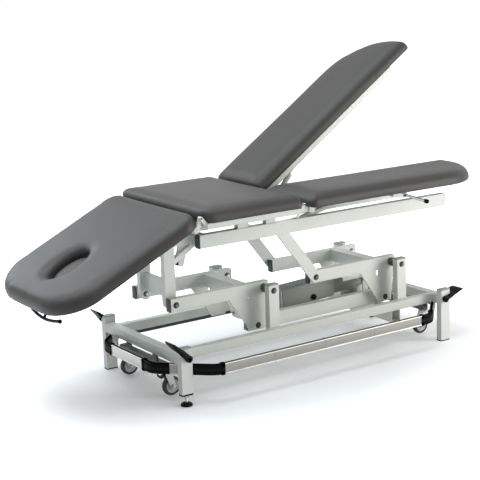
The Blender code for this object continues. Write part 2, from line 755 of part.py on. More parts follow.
def actuator_housing():
    neck_end = along_actuator((ACTUATOR_BOX_FROM + ACTUATOR_BOX_TO) / 2)
    body = prism(
        lug(ACTUATOR, neck_end, ACTUATOR_EYE_R, ACTUATOR_NECK_R),
        -ACTUATOR_EYE_HALF, ACTUATOR_EYE_HALF,
    )
    case = [
        along_actuator(ACTUATOR_BOX_FROM, -ACTUATOR_BOX_DOWN),
        along_actuator(ACTUATOR_BOX_TO, -ACTUATOR_BOX_DOWN),
        along_actuator(ACTUATOR_BOX_TO, ACTUATOR_BOX_UP),
        along_actuator(ACTUATOR_BOX_FROM, ACTUATOR_BOX_UP),
    ]
    join(body, prism(case, -ACTUATOR_BOX_HALF, ACTUATOR_BOX_HALF))
    start = along_actuator(ACTUATOR_BORE_FROM)
    end = along_actuator(ACTUATOR_BOX_TO + OVERCUT)
    bore = rod((start[0], 0, start[1]), (end[0], 0, end[1]), ACTUATOR_ROD_R + RUN)
    eye = pin(ACTUATOR, -ACTUATOR_EYE_HALF - OVERCUT, ACTUATOR_EYE_HALF + OVERCUT, ACTUATOR_PIN_R + RUN)
    return cut(body, bore, eye)


def actuator_rod():
    start = along_actuator(ACTUATOR_ROD_FROM)
    stem = rod((start[0], 0, start[1]), (CRANK[0], 0, CRANK[1]), ACTUATOR_ROD_R)
    return join(stem, pin(CRANK, -ACTUATOR_EYE_HALF, ACTUATOR_EYE_HALF, CRANK_R))


# Upper frame
def upper_rail(side):
    span = (side * UPPER_INNER, side * UPPER_OUTER)
    rail = block((UPPER_HEAD_X, span[0], UPPER_BOTTOM), (UPPER_FOOT_X, span[1], UPPER_RAIL_TOP))
    tip = (TIP_X[FOOT], PIVOT_Z)
    link = slanted_bar(tip, (LINK_TOP_X, UPPER_BOTTOM + TUBE_WALL / 2), LINK_HALF)
    join(rail, prism(link, side * LINK_INNER, side * (UPPER_OUTER - WELD)))
    cut(
        rail,
        block(
            (UPPER_HEAD_X - OVERCUT, side * (UPPER_INNER + TUBE_WALL), UPPER_BOTTOM + TUBE_WALL),
            (UPPER_FOOT_X + OVERCUT, side * (UPPER_OUTER - TUBE_WALL), UPPER_RAIL_TOP - TUBE_WALL),
        ),
        pin(tip, side * (LINK_INNER - OVERCUT), side * (UPPER_OUTER + OVERCUT), PIN_R + LOOSE),
    )
    stay_reach = STAY_Y - STAY_EYE_HALF
    return join(rail, pin(STAY_LOW, side * (UPPER_INNER + TUBE_WALL / 2), side * stay_reach, STAY_PIN_R))


def head_leg_frame():
    tip = (TIP_X[HEAD], PIVOT_Z)
    tube_from = UPPER_HEAD_X + TOP_TUBE_BACK
    tube_to = tube_from + TOP_TUBE_LONG
    tube_top = UPPER_RAIL_TOP - TOP_TUBE_SINK
    reach = UPPER_INNER - GAP
    frame = block((tube_from, -reach, tube_top - TOP_TUBE_TALL), (tube_to, reach, tube_top))
    cut(frame, block(
        (tube_from + TUBE_WALL, -reach - OVERCUT, tube_top - TOP_TUBE_TALL + TUBE_WALL),
        (tube_to - TUBE_WALL, reach + OVERCUT, tube_top - TUBE_WALL),
    ))
    leg = slanted_bar(tip, (tip[0], DROP_LEG_TOP), DROP_LEG_LONG / 2)
    stub_top = min(DROP_LEG_TOP, tube_top) - WELD
    brace = lug(
        (tip[0], PIVOT_Z + BRACE_RISE),
        (tube_from + TOP_TUBE_LONG / 2, tube_top - TOP_TUBE_TALL / 2),
        BRACE_R, BRACE_R,
    )
    for side in (NEAR, FAR):
        inner, outer = side * DROP_LEG_INNER, side * DROP_LEG_OUTER
        step = side * WELD
        stub = block(
            (tip[0], inner + step, stub_top - STUB_TALL),
            (tube_from + TUBE_WALL / 2, outer - step, stub_top),
        )
        collar = pin(tip, outer - step, side * (ARM_INNER - GAP), DROP_COLLAR_R)
        pivot = pin(tip, outer - step, side * (ARM_OUTER - PIN_SHORT), PIN_R)
        brace_bar = prism(brace, inner + 2 * step, outer - 2 * step)
        join(frame, stub, prism(leg, inner, outer), brace_bar, collar, pivot)
    plate_bottom = PIVOT_Z + DROP_PLATE_RISE
    plate = block(
        (tip[0] - DROP_PLATE_THICK / 2, -DROP_LEG_INNER - WELD, plate_bottom),
        (tip[0] + DROP_PLATE_THICK / 2, DROP_LEG_INNER + WELD, plate_bottom + DROP_PLATE_TALL),
    )
    join(frame, plate)
    root = (tube_from + TOP_TUBE_LONG / 2, tube_top - TOP_TUBE_TALL / 2)
    for y0, y1 in both(LUG_INNER, LUG_OUTER):
        join(frame, prism(lug(HEAD_STAY_LOW, root, STAY_LUG_R, STAY_LUG_R), y0, y1))
    lug_middle = (LUG_INNER + LUG_OUTER) / 2
    return join(frame, pin(HEAD_STAY_LOW, -lug_middle, lug_middle, STAY_PIN_R))


def seat_frame():
    strip_from = SEAT_BAR_STARTS[0]
    strip_to = SEAT_BAR_STARTS[-1] + SEAT_BAR_LONG
    frame = None
    for x in SEAT_BAR_STARTS:
        bar = block(
            (x + WELD, -STRIP_INNER - WELD, SEAT_STRIP_BOTTOM + WELD),
            (x + SEAT_BAR_LONG - WELD, STRIP_INNER + WELD, SEAT_STRIP_TOP - WELD),
        )
        if frame is None:
            frame = bar
            for y0, y1 in both(STRIP_INNER, STRIP_OUTER):
                join(frame, block((strip_from, y0, SEAT_STRIP_BOTTOM), (strip_to, y1, SEAT_STRIP_TOP)))
        else:
            join(frame, bar)
            inset = (SEAT_BAR_LONG - SPACER_LONG) / 2
            for y0, y1 in both(UPPER_INNER + TUBE_WALL, UPPER_OUTER - TUBE_WALL):
                join(frame, block(
                    (x + inset, y0, UPPER_RAIL_TOP + GAP),
                    (x + inset + SPACER_LONG, y1, SEAT_STRIP_BOTTOM + 2 * WELD),
                ))

    strap_outline = lug(HINGE, SEAT_STRAP_ROOT, EYE_R, STRAP_R)
    for y0, y1 in both(SEAT_STRAP_Y, SEAT_STRAP_Y + EYE_WIDE):
        join(frame, prism(strap_outline, y0, y1))
    for y0, y1 in both(EYE_Y, SEAT_STRAP_Y + EYE_WIDE / 2):
        join(frame, pin(HINGE, y0, y1, EYE_PIN_R))

    root = (SEAT_BAR_STARTS[-1] + SEAT_BAR_LONG / 2, SEAT_STRIP_TOP - STRIP_TALL / 2)
    outline = lug(LEG_HINGE, root, LEG_EYE_R, LEG_EYE_R)
    for eye_y in (LEG_EYE_Y, LEG_OUTER_EYE_Y):
        inner = eye_y + LEG_EYE_WIDE + GAP
        for side in (NEAR, FAR):
            plate = prism(outline, side * inner, side * (inner + LEG_EYE_WIDE))
            hinge_pin = pin(LEG_HINGE, side * (inner + LEG_EYE_WIDE / 2), side * eye_y, LEG_PIN_R)
            join(frame, plate, hinge_pin)
    return frame


# Pads
def rounded_outline(low, high, corners, inset):
    # Counter-clockwise outline of a pad: each corner has its own reach along X and along Y.
    x0, y0 = low[0] + inset, low[1] + inset
    x1, y1 = high[0] - inset, high[1] - inset
    least = PAD_PULL
    points = []
    signs = ((-1, -1), (1, -1), (1, 1), (-1, 1))
    for number, ((sx, sy), (a, b)) in enumerate(zip(signs, corners)):
        a, b = max(a - inset, least), max(b - inset, least)
        cx = x0 + a if sx < 0 else x1 - a
        cy = y0 + b if sy < 0 else y1 - b
        start = pi + number * pi / 2
        for i in range(CORNER_POINTS):
            angle = start + pi / 2 * i / (CORNER_POINTS - 1)
            points.append(Vector((cx + a * cos(angle), cy + b * sin(angle))))
    ring = []
    for number in range(4):
        ring += points[number * CORNER_POINTS:(number + 1) * CORNER_POINTS]
        start = points[(number + 1) * CORNER_POINTS - 1]
        end = points[(number + 1) * CORNER_POINTS % len(points)]
        run = end - start
        inward = Vector((-run.y, run.x)).normalized() if run.length > PAD_PULL else Vector((0, 0))
        for i in range(1, EDGE_POINTS + 1):
            part = i / (EDGE_POINTS + 1)
            ring.append(start + run * part + inward * PAD_PULL * sin(pi * part))
    return ring


def pad_profile():
    # Inset and height of each ring, from the board up round the edge to the crown.
    top = PAD_THICK - PAD_CROWN
    rings = [(PAD_TUCK, 0.0), (PAD_TUCK / 3, PAD_EDGE / 3), (0.0, PAD_EDGE)]
    for angle in (0, 30, 60, 90):
        a = radians(angle)
        rings.append((PAD_EDGE * (1 - cos(a)), top - PAD_EDGE * (1 - sin(a))))
    rings.append((2.5 * PAD_EDGE, top + 0.6 * PAD_CROWN))
    return rings


def pad(low, high, bottom, corners):
    rings = []
    for inset, height in pad_profile() + [(5.5 * PAD_EDGE, PAD_THICK)]:
        outline = rounded_outline(low, high, corners, inset)
        rings.append([(p.x, p.y, bottom + height) for p in outline])
    return loft(rings)


def face_ring(extra, z, angles):
    x = HEAD_HINGE_X - FACE_FROM_HINGE
    a, b = FACE_HALF_X + extra, FACE_HALF_Y + extra
    ring = []
    for angle in angles:
        reach = 1 / hypot(cos(angle) / a, sin(angle) / b)
        ring.append((x + reach * cos(angle), reach * sin(angle), z))
    return ring


def face_angles(outline):
    x = HEAD_HINGE_X - FACE_FROM_HINGE
    return [atan2(p.y, p.x - x) for p in outline]


head_low = (HEAD_HINGE_X - HEAD_LONG, -HEAD_HALF)
head_high = (HEAD_HINGE_X - HEAD_PAD_GAP, HEAD_HALF)
free_corner = (HEAD_CORNER_X, HEAD_CORNER_Y)
hinge_corner = (HINGE_CORNER, HINGE_CORNER)
leg_corner = (PAD_CORNER, PAD_CORNER)
head_corners = (free_corner, hinge_corner, hinge_corner, free_corner)
hole_angles = face_angles(rounded_outline(head_low, head_high, head_corners, 2.5 * PAD_EDGE))


def strap_notches(root):
    # Room in a pad's sides for the hinge eyes and for the strap that runs from them to its root.
    outline = lug(HINGE, root, EYE_ROOM, STRAP_R + LOOSE)
    return [prism(outline, y0, y1) for y0, y1 in both(EYE_Y - EYE_NOTCH, PAD_HALF + OVERCUT)]


def head_pad():
    rings = []
    for inset, height in pad_profile():
        outline = rounded_outline(head_low, head_high, head_corners, inset)
        rings.append([(p.x, p.y, SEAT_BOTTOM + height) for p in outline])
    roll_top = SEAT_BOTTOM + PAD_THICK
    rings.append(face_ring(FACE_ROLL, roll_top, hole_angles))
    rings.append(face_ring(FACE_ROLL * 0.3, roll_top - FACE_ROLL * 0.2, hole_angles))
    rings.append(face_ring(0, roll_top - FACE_ROLL * 0.6, hole_angles))
    rings.append(face_ring(0, SEAT_BOTTOM, hole_angles))
    return cut(loft(rings, endless=True), *strap_notches(HEAD_STRAP_ROOT))


def face_plug():
    top = SEAT_BOTTOM + PAD_THICK - PLUG_SINK
    edge = PAD_EDGE / 2
    steps = (
        (-PLUG_GAP, SEAT_BOTTOM),
        (-PLUG_GAP, top - edge),
        (-PLUG_GAP - edge * 0.3, top - edge * 0.3),
        (-PLUG_GAP - edge, top),
    )
    return loft([face_ring(extra, z, hole_angles) for extra, z in steps])


def seat_pad():
    solid = pad(
        (SEAT_FROM, -PAD_HALF), (SEAT_TO, PAD_HALF), SEAT_BOTTOM,
        (hinge_corner, leg_corner, leg_corner, hinge_corner),
    )
    return cut(solid, *strap_notches(SEAT_STRAP_ROOT))


def leg_pad(side):
    x0, x1 = LEG_HINGE_X + LEG_PAD_FROM, LEG_HINGE_X + LEG_LONG
    y0, y1 = sorted((side * LEG_SPLIT, side * PAD_HALF))
    outer, inner = (LEG_CORNER_X, LEG_CORNER_Y), (LEG_TIP_R, LEG_TIP_R)
    tips = (outer, inner) if side == NEAR else (inner, outer)
    return pad((x0, y0), (x1, y1), LEG_BOTTOM, (leg_corner, tips[0], tips[1], leg_corner))


# Frames under the head and leg pads
def head_frame():
    top, bottom = SEAT_STRIP_TOP, SEAT_STRIP_BOTTOM
    frame = None
    for number, start in enumerate(HEAD_BARS):
        half = EYE_Y + EYE_WIDE - WELD if number == 0 else HEAD_SPINE_INNER + WELD
        x = HEAD_HINGE_X - start
        bar = block((x, -half, bottom + WELD), (x - HEAD_BAR_LONG, half, top - WELD))
        if frame is None:
            frame = bar
            spine_to = HEAD_HINGE_X - HEAD_SPINE_TO
            for y0, y1 in both(HEAD_SPINE_INNER, HEAD_SPINE_INNER + STRIP_WIDE):
                join(frame, block((x - WELD, y0, bottom), (spine_to, y1, top)))
        else:
            join(frame, bar)
    strap_outline = lug(HINGE, HEAD_STRAP_ROOT, EYE_R, STRAP_R)
    for y0, y1 in both(EYE_Y, EYE_Y + EYE_WIDE):
        join(frame, prism(strap_outline, y0, y1))
    for y0, y1 in both(EYE_Y - OVERCUT, EYE_Y + EYE_WIDE + OVERCUT):
        cut(frame, pin(HINGE, y0, y1, EYE_PIN_R + RUN))
    stay_high = (HEAD_HINGE_X - HEAD_STAY_HIGH_X, HEAD_HINGE_Z - HEAD_STAY_HIGH_DROP)
    root = (HEAD_HINGE_X - HEAD_BARS[1] - HEAD_BAR_LONG / 2, (top + bottom) / 2)
    for y0, y1 in both(LUG_INNER, LUG_OUTER):
        join(frame, prism(lug(stay_high, root, STAY_LUG_R, HEAD_BAR_LONG / 3), y0, y1))
    return frame


def leg_frame(side):
    top, bottom = LEG_STRIP_TOP, LEG_STRIP_BOTTOM
    x = LEG_HINGE_X
    spine_outer = LEG_SPINE_INNER + STRIP_WIDE
    frame = block(
        (x + LEG_SPINE_FROM, side * LEG_SPINE_INNER, bottom),
        (x + LEG_SPINE_TO, side * spine_outer, top),
    )
    hinge_bar = block(
        (x + LEG_SPINE_FROM + WELD, side * (spine_outer - WELD), bottom + WELD),
        (x + LEG_SPINE_FROM + STRIP_WIDE, side * LEG_HINGE_BAR_TO, top - WELD),
    )
    mid_bar = block(
        (x + LEG_MID_BAR_FROM, side * (spine_outer - WELD), bottom + WELD),
        (x + LEG_MID_BAR_FROM + LEG_MID_BAR_LONG, side * LEG_MID_BAR_TO, top - WELD),
    )
    join(frame, hinge_bar, mid_bar)
    hollow_from = x + LEG_SPINE_FROM + STRIP_WIDE + LEG_EYE_R
    cut(frame, block(
        (hollow_from, side * (LEG_SPINE_INNER + TUBE_WALL), bottom + TUBE_WALL),
        (x + LEG_SPINE_TO + OVERCUT, side * (spine_outer - TUBE_WALL), top - TUBE_WALL),
    ))
    middle = (top + bottom) / 2
    eye_root = (x + LEG_SPINE_FROM + STRIP_WIDE / 2, middle)
    eye_outline = lug(LEG_HINGE, eye_root, LEG_EYE_R, LEG_EYE_R)
    for eye_y in (LEG_EYE_Y, LEG_OUTER_EYE_Y):
        join(frame, prism(eye_outline, side * eye_y, side * (eye_y + LEG_EYE_WIDE)))
        cut(frame, pin(
            LEG_HINGE, side * (eye_y - OVERCUT), side * (eye_y + LEG_EYE_WIDE + OVERCUT), LEG_PIN_R + RUN,
        ))
    mid_root = (x + LEG_MID_BAR_FROM + LEG_MID_BAR_LONG / 2, middle)
    stay_high = (x + STAY_HIGH_X, LEG_HINGE_Z - STAY_HIGH_DROP)
    stay_lug = lug(stay_high, mid_root, STAY_LUG_R, LEG_EYE_R)
    lever_place = (x + LEVER_X, LEG_HINGE_Z - LEVER_DROP)
    lever_lug = lug(lever_place, mid_root, LEVER_EYE_R, LEVER_EYE_R)
    lever_inner = LEVER_EYE_HALF + LOOSE
    lever_outer = lever_inner + STAY_LUG_THICK
    for flank in (-1, 1):
        stay_span = [side * (STAY_Y + flank * reach) for reach in (LUG_INNER, LUG_OUTER)]
        lever_span = [side * (LEVER_Y + flank * reach) for reach in (lever_inner, lever_outer)]
        join(frame, prism(stay_lug, *stay_span), prism(lever_lug, *lever_span))
    reach = lever_inner + STAY_LUG_THICK / 2
    return join(frame, pin(lever_place, side * (LEVER_Y - reach), side * (LEVER_Y + reach), LEVER_PIN_R))


# Stays: the body turns on its lower eye, the rod slides out of it
def stay_parts(low, high, y, body_long, rod_back):
    # The rod keeps its length; its upper eye stands where the section is at rest.
    length = hypot(high[0] - low[0], high[1] - low[1])
    way = ((high[0] - low[0]) / length, (high[1] - low[1]) / length)

    def at(distance):
        return (low[0] + distance * way[0], y, low[1] + distance * way[1])

    body = rod(at(STAY_EYE_R / 2), at(body_long), STAY_BODY_R)
    join(body, pin(low, y - STAY_EYE_HALF, y + STAY_EYE_HALF, STAY_EYE_R + RUN))
    bore = rod(at(STAY_EYE_R + STAY_PIN_R), at(body_long + OVERCUT), STAY_ROD_R + RUN)
    eye_hole = pin(low, y - STAY_EYE_HALF - OVERCUT, y + STAY_EYE_HALF + OVERCUT, STAY_PIN_R + RUN)
    cut(body, bore, eye_hole)
    stem = rod(at(length - rod_back), at(length), STAY_ROD_R)
    join(stem, pin(high, y - STAY_EYE_HALF, y + STAY_EYE_HALF, STAY_EYE_R))
    return body, stem


# Handles
def leg_lever(side):
    place = (LEG_HINGE_X + LEVER_X, LEG_HINGE_Z - LEVER_DROP)
    y = side * LEVER_Y
    bend = (place[0] + LEVER_STRAIGHT, y, place[1])
    knob = (place[0] + LEVER_REACH, y + side * LEVER_OUT, place[1] - LEVER_FALL)
    lever = pin(place, y - LEVER_EYE_HALF, y + LEVER_EYE_HALF, LEVER_EYE_R)
    join(
        lever,
        rod((place[0] + LEVER_EYE_R / 2, y, place[1]), bend, LEVER_ROD_R),
        ball(bend, LEVER_ROD_R),
        rod(bend, knob, LEVER_ROD_R),
        ball(knob, KNOB_R),
    )
    return cut(lever, pin(place, y - LEVER_EYE_R, y + LEVER_EYE_R, LEVER_PIN_R + RUN))


def handle_axis():
    return (HEAD_HINGE_X - HANDLE_FROM_HINGE, (SEAT_STRIP_TOP + SEAT_STRIP_BOTTOM) / 2)


def head_handle():
    axis = handle_axis()
    grip = (axis[0] - HANDLE_REACH, axis[1] - HANDLE_FALL)
    reach = HEAD_SPINE_INNER - GAP
    handle = pin(axis, -reach, reach, HANDLE_ROD_R)
    join(
        handle,
        rod((axis[0], 0, axis[1]), (grip[0], 0, grip[1]), HANDLE_ROD_R),
        pin(grip, -HANDLE_HALF, HANDLE_HALF, HANDLE_ROD_R),
    )
    return join(handle, ball((grip[0], NEAR * HANDLE_HALF, grip[1]), HANDLE_BALL_R))


# Foot switch ring
def switch_bar(low, high, along):
    bar = block((*low, RING_BOTTOM), (*high, RING_TOP))
    wall = [TUBE_WALL, TUBE_WALL]
    wall[along] = -OVERCUT
    return cut(bar, block(
        (low[0] + wall[0], low[1] + wall[1], RING_BOTTOM + TUBE_WALL),
        (high[0] - wall[0], high[1] - wall[1], RING_TOP - TUBE_WALL),
    ))


def corner_path():
    # Centre line of a corner in the first quadrant: along the side bar, across, along the end bar.
    turn = radians(45)
    back = RING_BEND * (2 ** 0.5 - 1)
    side_bend = (RING_X - RING_CUT - back, RING_Y - RING_BEND)
    end_bend = (RING_X - RING_BEND, RING_Y - RING_CUT - back)
    path = [(RING_X - RING_CUT - RING_END, RING_Y)]
    path += arc(side_bend, RING_BEND, pi / 2, pi / 2 - turn, 4)
    path += arc(end_bend, RING_BEND, turn, 0, 4)
    path.append((RING_X, RING_Y - RING_CUT - RING_END))
    return [Vector(point) for point in path]


def switch_corner(end, side):
    path = corner_path()
    edges = ([], [])
    for i, point in enumerate(path):
        run = path[min(i + 1, len(path) - 1)] - path[max(i - 1, 0)]
        normal = Vector((-run.y, run.x)).normalized() * RING_THICK / 2
        edges[0].append(point + normal)
        edges[1].append(point - normal)
    outline = [(end * p.x, side * p.y) for p in edges[0] + edges[1][::-1]]
    corner = slab(outline, RING_BOTTOM, RING_TOP)
    place = (end * CHANNEL_MID, side * RING_PIN_Y)
    return cut(corner, rod(
        (*place, RING_BOTTOM - OVERCUT), (*place, RING_TOP + OVERCUT), RING_PIN_R + RUN,
    ))


# Castors
def castor_carrier(end):
    half = CARRIER_WIDE / 2
    bar = block(
        (end * (CHANNEL_MID - half), -CARRIER_HALF, CARRIER_BOTTOM),
        (end * (CHANNEL_MID + half), CARRIER_HALF, CARRIER_TOP),
    )
    tongue_out = CHANNEL_OUT - TONGUE_CLEAR
    tongue_in = SHAFT_X + CRANKPIN_REACH * cos(radians(CRANKPIN_TILT))
    for side in (NEAR, FAR):
        y = side * CRANKPIN_Y
        join(bar, block(
            (end * tongue_in, y - CRANKPIN_WIDE, CARRIER_TOP - WELD),
            (end * tongue_out, y + CRANKPIN_WIDE, TONGUE_TOP),
        ))
        place = (end * CHANNEL_MID, side * CASTOR_Y)
        cut(bar, rod((*place, CARRIER_BOTTOM - OVERCUT), (*place, CARRIER_TOP + OVERCUT), STEM_R + RUN))
    return bar


def pedal_shaft(end):
    centre = (end * SHAFT_X, SHAFT_Z)
    reach = Y_POST + PEDAL_WIDE
    shaft = pin(centre, -reach, reach, SHAFT_R)
    tilt = radians(CRANKPIN_TILT)
    tip = (centre[0] + end * CRANKPIN_REACH * cos(tilt), SHAFT_Z + CRANKPIN_REACH * sin(tilt))
    outline = lug(centre, tip, CRANKPIN_R, CRANKPIN_R)
    for side in (NEAR, FAR):
        y = side * CRANKPIN_Y
        join(shaft, prism(outline, y - CRANKPIN_WIDE / 2, y + CRANKPIN_WIDE / 2))
    return shaft


def pedal(end, side):
    centre = (end * SHAFT_X, SHAFT_Z)
    tilt, reach = radians(PEDAL_TILT[end]), PEDAL_REACH[end]

    def at(distance):
        return (centre[0] + end * distance * cos(tilt), centre[1] + distance * sin(tilt))

    y0, y1 = Y_POST + GAP, Y_POST + PEDAL_WIDE
    arm = prism(lug(centre, at(reach - PEDAL_ARM_R), PEDAL_HUB_R, PEDAL_ARM_R), side * y0, side * y1)
    tread_r = PEDAL_ARM_R - WELD
    tread = lug(at(reach - PEDAL_TREAD_LONG), at(reach - PEDAL_ARM_R), tread_r, tread_r)
    join(arm, prism(tread, side * (y1 - WELD), side * (y1 - PEDAL_TREAD_WIDE)))
    return cut(arm, pin(centre, side * (y0 - OVERCUT), side * (y1 + OVERCUT), SHAFT_R + RUN))


def castor_fork(end, side):
    place = (end * CHANNEL_MID, side * CASTOR_Y)
    plate_top = CARRIER_BOTTOM - GAP
    plate_bottom = plate_top - FORK_PLATE_THICK
    axle = (place[0] - end * FORK_TRAIL, WHEEL_Z)
    fork = rod((*place, plate_bottom), (*place, plate_top), FORK_PLATE_R, TUBE_SIDES)
    stem = rod((*place, plate_top - WELD), (*place, CARRIER_TOP - STEM_SHORT), STEM_R)
    join(fork, stem)
    cheek = lug(axle, (place[0], plate_bottom), FORK_R, FORK_R * 1.2)
    cheek = [(x, min(z, plate_top - WELD)) for x, z in cheek]
    inner = FORK_HALF - FORK_THICK
    for y0, y1 in both(inner, FORK_HALF):
        join(fork, prism(cheek, place[1] + y0, place[1] + y1))
    return join(fork, pin(axle, place[1] - inner - WELD, place[1] + inner + WELD, AXLE_R))


def castor_wheel(end, side):
    # A turned wheel: round tyre, dished face and a bore on the axle.
    x, y = end * (CHANNEL_MID - FORK_TRAIL), side * CASTOR_Y
    half = WHEEL_HALF
    profile = [
        (AXLE_R + RUN, half - WHEEL_DISH),
        (WHEEL_HUB_R, half - WHEEL_DISH),
        (WHEEL_HUB_R + WHEEL_DISH, half),
        (WHEEL_R - WHEEL_ROUND, half),
        (WHEEL_R, half - WHEEL_ROUND),
    ]
    profile += [(r, -offset) for r, offset in reversed(profile)]
    rings = []
    for r, offset in profile:
        angles = [2 * pi * i / TUBE_SIDES for i in range(TUBE_SIDES)]
        rings.append([(x + r * cos(a), y + offset, WHEEL_Z + r * sin(a)) for a in angles])
    return loft(rings, endless=True)


couch = joint("couch", (0, 0, 0))
lift_head = joint("lift_head", (LIFT_X[HEAD], 0, PIVOT_Z), couch)
lift_foot = joint("lift_foot", (LIFT_X[FOOT], 0, PIVOT_Z), couch)
upper = joint("upper", (TIP_X[HEAD], 0, PIVOT_Z), lift_head)
tie = joint("tie", (TIE_X[HEAD], 0, TIE_Z), lift_head)
actuator = joint("actuator", (ACTUATOR[0], 0, ACTUATOR[1]), couch)
actuator_slide = joint("actuator_slide", (CRANK[0], 0, CRANK[1]), actuator)
head = joint("head", (HEAD_HINGE_X, 0, HEAD_HINGE_Z), upper, -HEAD_DROOP)
plug_slide = joint("plug", (HEAD_HINGE_X - FACE_FROM_HINGE, 0, SEAT_BOTTOM), head)
handle_turn = joint("handle", (handle_axis()[0], 0, handle_axis()[1]), head)
ring = joint("switch_ring", (0, 0, RING_BOTTOM), couch)
level = joint("level", (HEAD * (X_END - POST_LONG / 2), NEAR * (Y_POST - POST_WIDE / 2), 0), couch)

for end in (HEAD, FOOT):
    piece("end_frame_" + END_NAMES[end], end_frame(end), couch, "powder")
for side in (NEAR, FAR):
    piece("side_frame_" + SIDE_NAMES[side], side_frame(side), couch, "powder")
for end, side in ((HEAD, FAR), (FOOT, NEAR), (FOOT, FAR)):
    piece("foot_cap_" + END_NAMES[end] + "_" + SIDE_NAMES[side], foot_cap(end, side), couch, "black")
piece("levelling_foot", levelling_foot(), level, "black")
piece("actuator_mount", actuator_mount(), couch, "powder")
piece("control_box", control_box(), couch, "grey")

piece("rocker_head", rocker(HEAD), lift_head, "powder")
piece("rocker_foot", rocker(FOOT), lift_foot, "powder")
piece("tie_bar", tie_bar(), tie, "powder")
piece("actuator_housing", actuator_housing(), actuator, "grey")
piece("actuator_rod", actuator_rod(), actuator_slide, "zinc")

for side in (NEAR, FAR):
    piece("upper_rail_" + SIDE_NAMES[side], upper_rail(side), upper, "powder")
piece("head_leg_frame", head_leg_frame(), upper, "powder")
piece("seat_frame", seat_frame(), upper, "powder")
piece("seat_pad", seat_pad(), upper, "vinyl")

piece("head_frame", head_frame(), head, "powder")
piece("head_pad", head_pad(), head, "vinyl")
piece("face_plug", face_plug(), plug_slide, "plug_vinyl")
piece("head_handle", head_handle(), handle_turn, "black")

head_stay_flat = (HEAD_HINGE_X - HEAD_STAY_HIGH_X, HEAD_HINGE_Z - HEAD_STAY_HIGH_DROP)
head_stay_high = turned(head_stay_flat, HINGE, -HEAD_DROOP)
head_stay = joint("head_stay", (HEAD_STAY_LOW[0], 0, HEAD_STAY_LOW[1]), upper)
head_stay_slide = joint("head_stay_slide", (head_stay_high[0], 0, head_stay_high[1]), head_stay)
stay_body, stay_rod = stay_parts(
    HEAD_STAY_LOW, head_stay_high, 0, HEAD_STAY_BODY_LONG, HEAD_STAY_ROD_BACK,
)
piece("head_stay_body", stay_body, head_stay, "black")
piece("head_stay_rod", stay_rod, head_stay_slide, "zinc")

for side in (NEAR, FAR):
    name = SIDE_NAMES[side]
    raised = LEG_RAISED if side == FAR else 0
    leg = joint("leg_" + name, (LEG_HINGE_X, side * PAD_HALF / 2, LEG_HINGE_Z), upper, -raised)
    piece("leg_frame_" + name, leg_frame(side), leg, "powder")
    piece("leg_pad_" + name, leg_pad(side), leg, "vinyl")
    lever_place = (LEG_HINGE_X + LEVER_X, side * LEVER_Y, LEG_HINGE_Z - LEVER_DROP)
    piece("leg_lever_" + name, leg_lever(side), joint("lever_" + name, lever_place, leg), "black")
    flat_high = (LEG_HINGE_X + STAY_HIGH_X, LEG_HINGE_Z - STAY_HIGH_DROP)
    high = turned(flat_high, LEG_HINGE, -raised)
    stay = joint("leg_stay_" + name, (STAY_LOW[0], side * STAY_Y, STAY_LOW[1]), upper)
    stay_slide = joint("leg_stay_slide_" + name, (high[0], side * STAY_Y, high[1]), stay)
    stay_body, stay_rod = stay_parts(STAY_LOW, high, side * STAY_Y, STAY_BODY_LONG, STAY_ROD_BACK)
    piece("leg_stay_body_" + name, stay_body, stay, "black")
    piece("leg_stay_rod_" + name, stay_rod, stay_slide, "zinc")

side_half = RING_X - RING_CUT - RING_END - GAP
end_half = RING_Y - RING_CUT - RING_END - GAP
for side in (NEAR, FAR):
    y = side * RING_Y
    bar = switch_bar((-side_half, y - RING_THICK / 2), (side_half, y + RING_THICK / 2), 0)
    piece("switch_bar_" + SIDE_NAMES[side], bar, ring, "aluminium")
for end in (HEAD, FOOT):
    x = end * RING_X
    bar = switch_bar((x - RING_THICK / 2, -end_half), (x + RING_THICK / 2, end_half), 1)
    piece("switch_bar_" + END_NAMES[end], bar, ring, "aluminium")
    for side in (NEAR, FAR):
        name = END_NAMES[end] + "_" + SIDE_NAMES[side]
        piece("switch_corner_" + name, switch_corner(end, side), ring, "black")

for end in (HEAD, FOOT):
    name = END_NAMES[end]
    shaft = joint("pedal_" + name, (end * SHAFT_X, 0, SHAFT_Z), couch)
    piece("pedal_shaft_" + name, pedal_shaft(end), shaft, "zinc")
    carrier = joint("carrier_" + name, (end * CHANNEL_MID, 0, CARRIER_BOTTOM), couch)
    piece("castor_carrier_" + name, castor_carrier(end), carrier, "zinc")
    for side in (NEAR, FAR):
        full = name + "_" + SIDE_NAMES[side]
        piece("pedal_" + full, pedal(end, side), shaft, "black")
        swivel = joint("swivel_" + full, (end * CHANNEL_MID, side * CASTOR_Y, CARRIER_BOTTOM), carrier)
        piece("castor_fork_" + full, castor_fork(end, side), swivel, "zinc")
        axle_place = (end * (CHANNEL_MID - FORK_TRAIL), side * CASTOR_Y, WHEEL_Z)
        axle = joint("axle_" + full, axle_place, swivel)
        piece("castor_wheel_" + full, castor_wheel(end, side), axle, "tyre")

# The origin goes to the middle of the couch's length, on the floor.
bpy.context.view_layer.update()
reach = [
    (obj.matrix_world @ vertex.co).x
    for obj in bpy.data.objects if obj.type == "MESH"
    for vertex in obj.data.vertices
]
couch.location.x = -(min(reach) + max(reach)) / 2
bpy.context.view_layer.update()
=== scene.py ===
import bpy
import bmesh
import json
from math import atan2, cos, hypot, pi, radians, sin, tan
from mathutils import Matrix, Vector


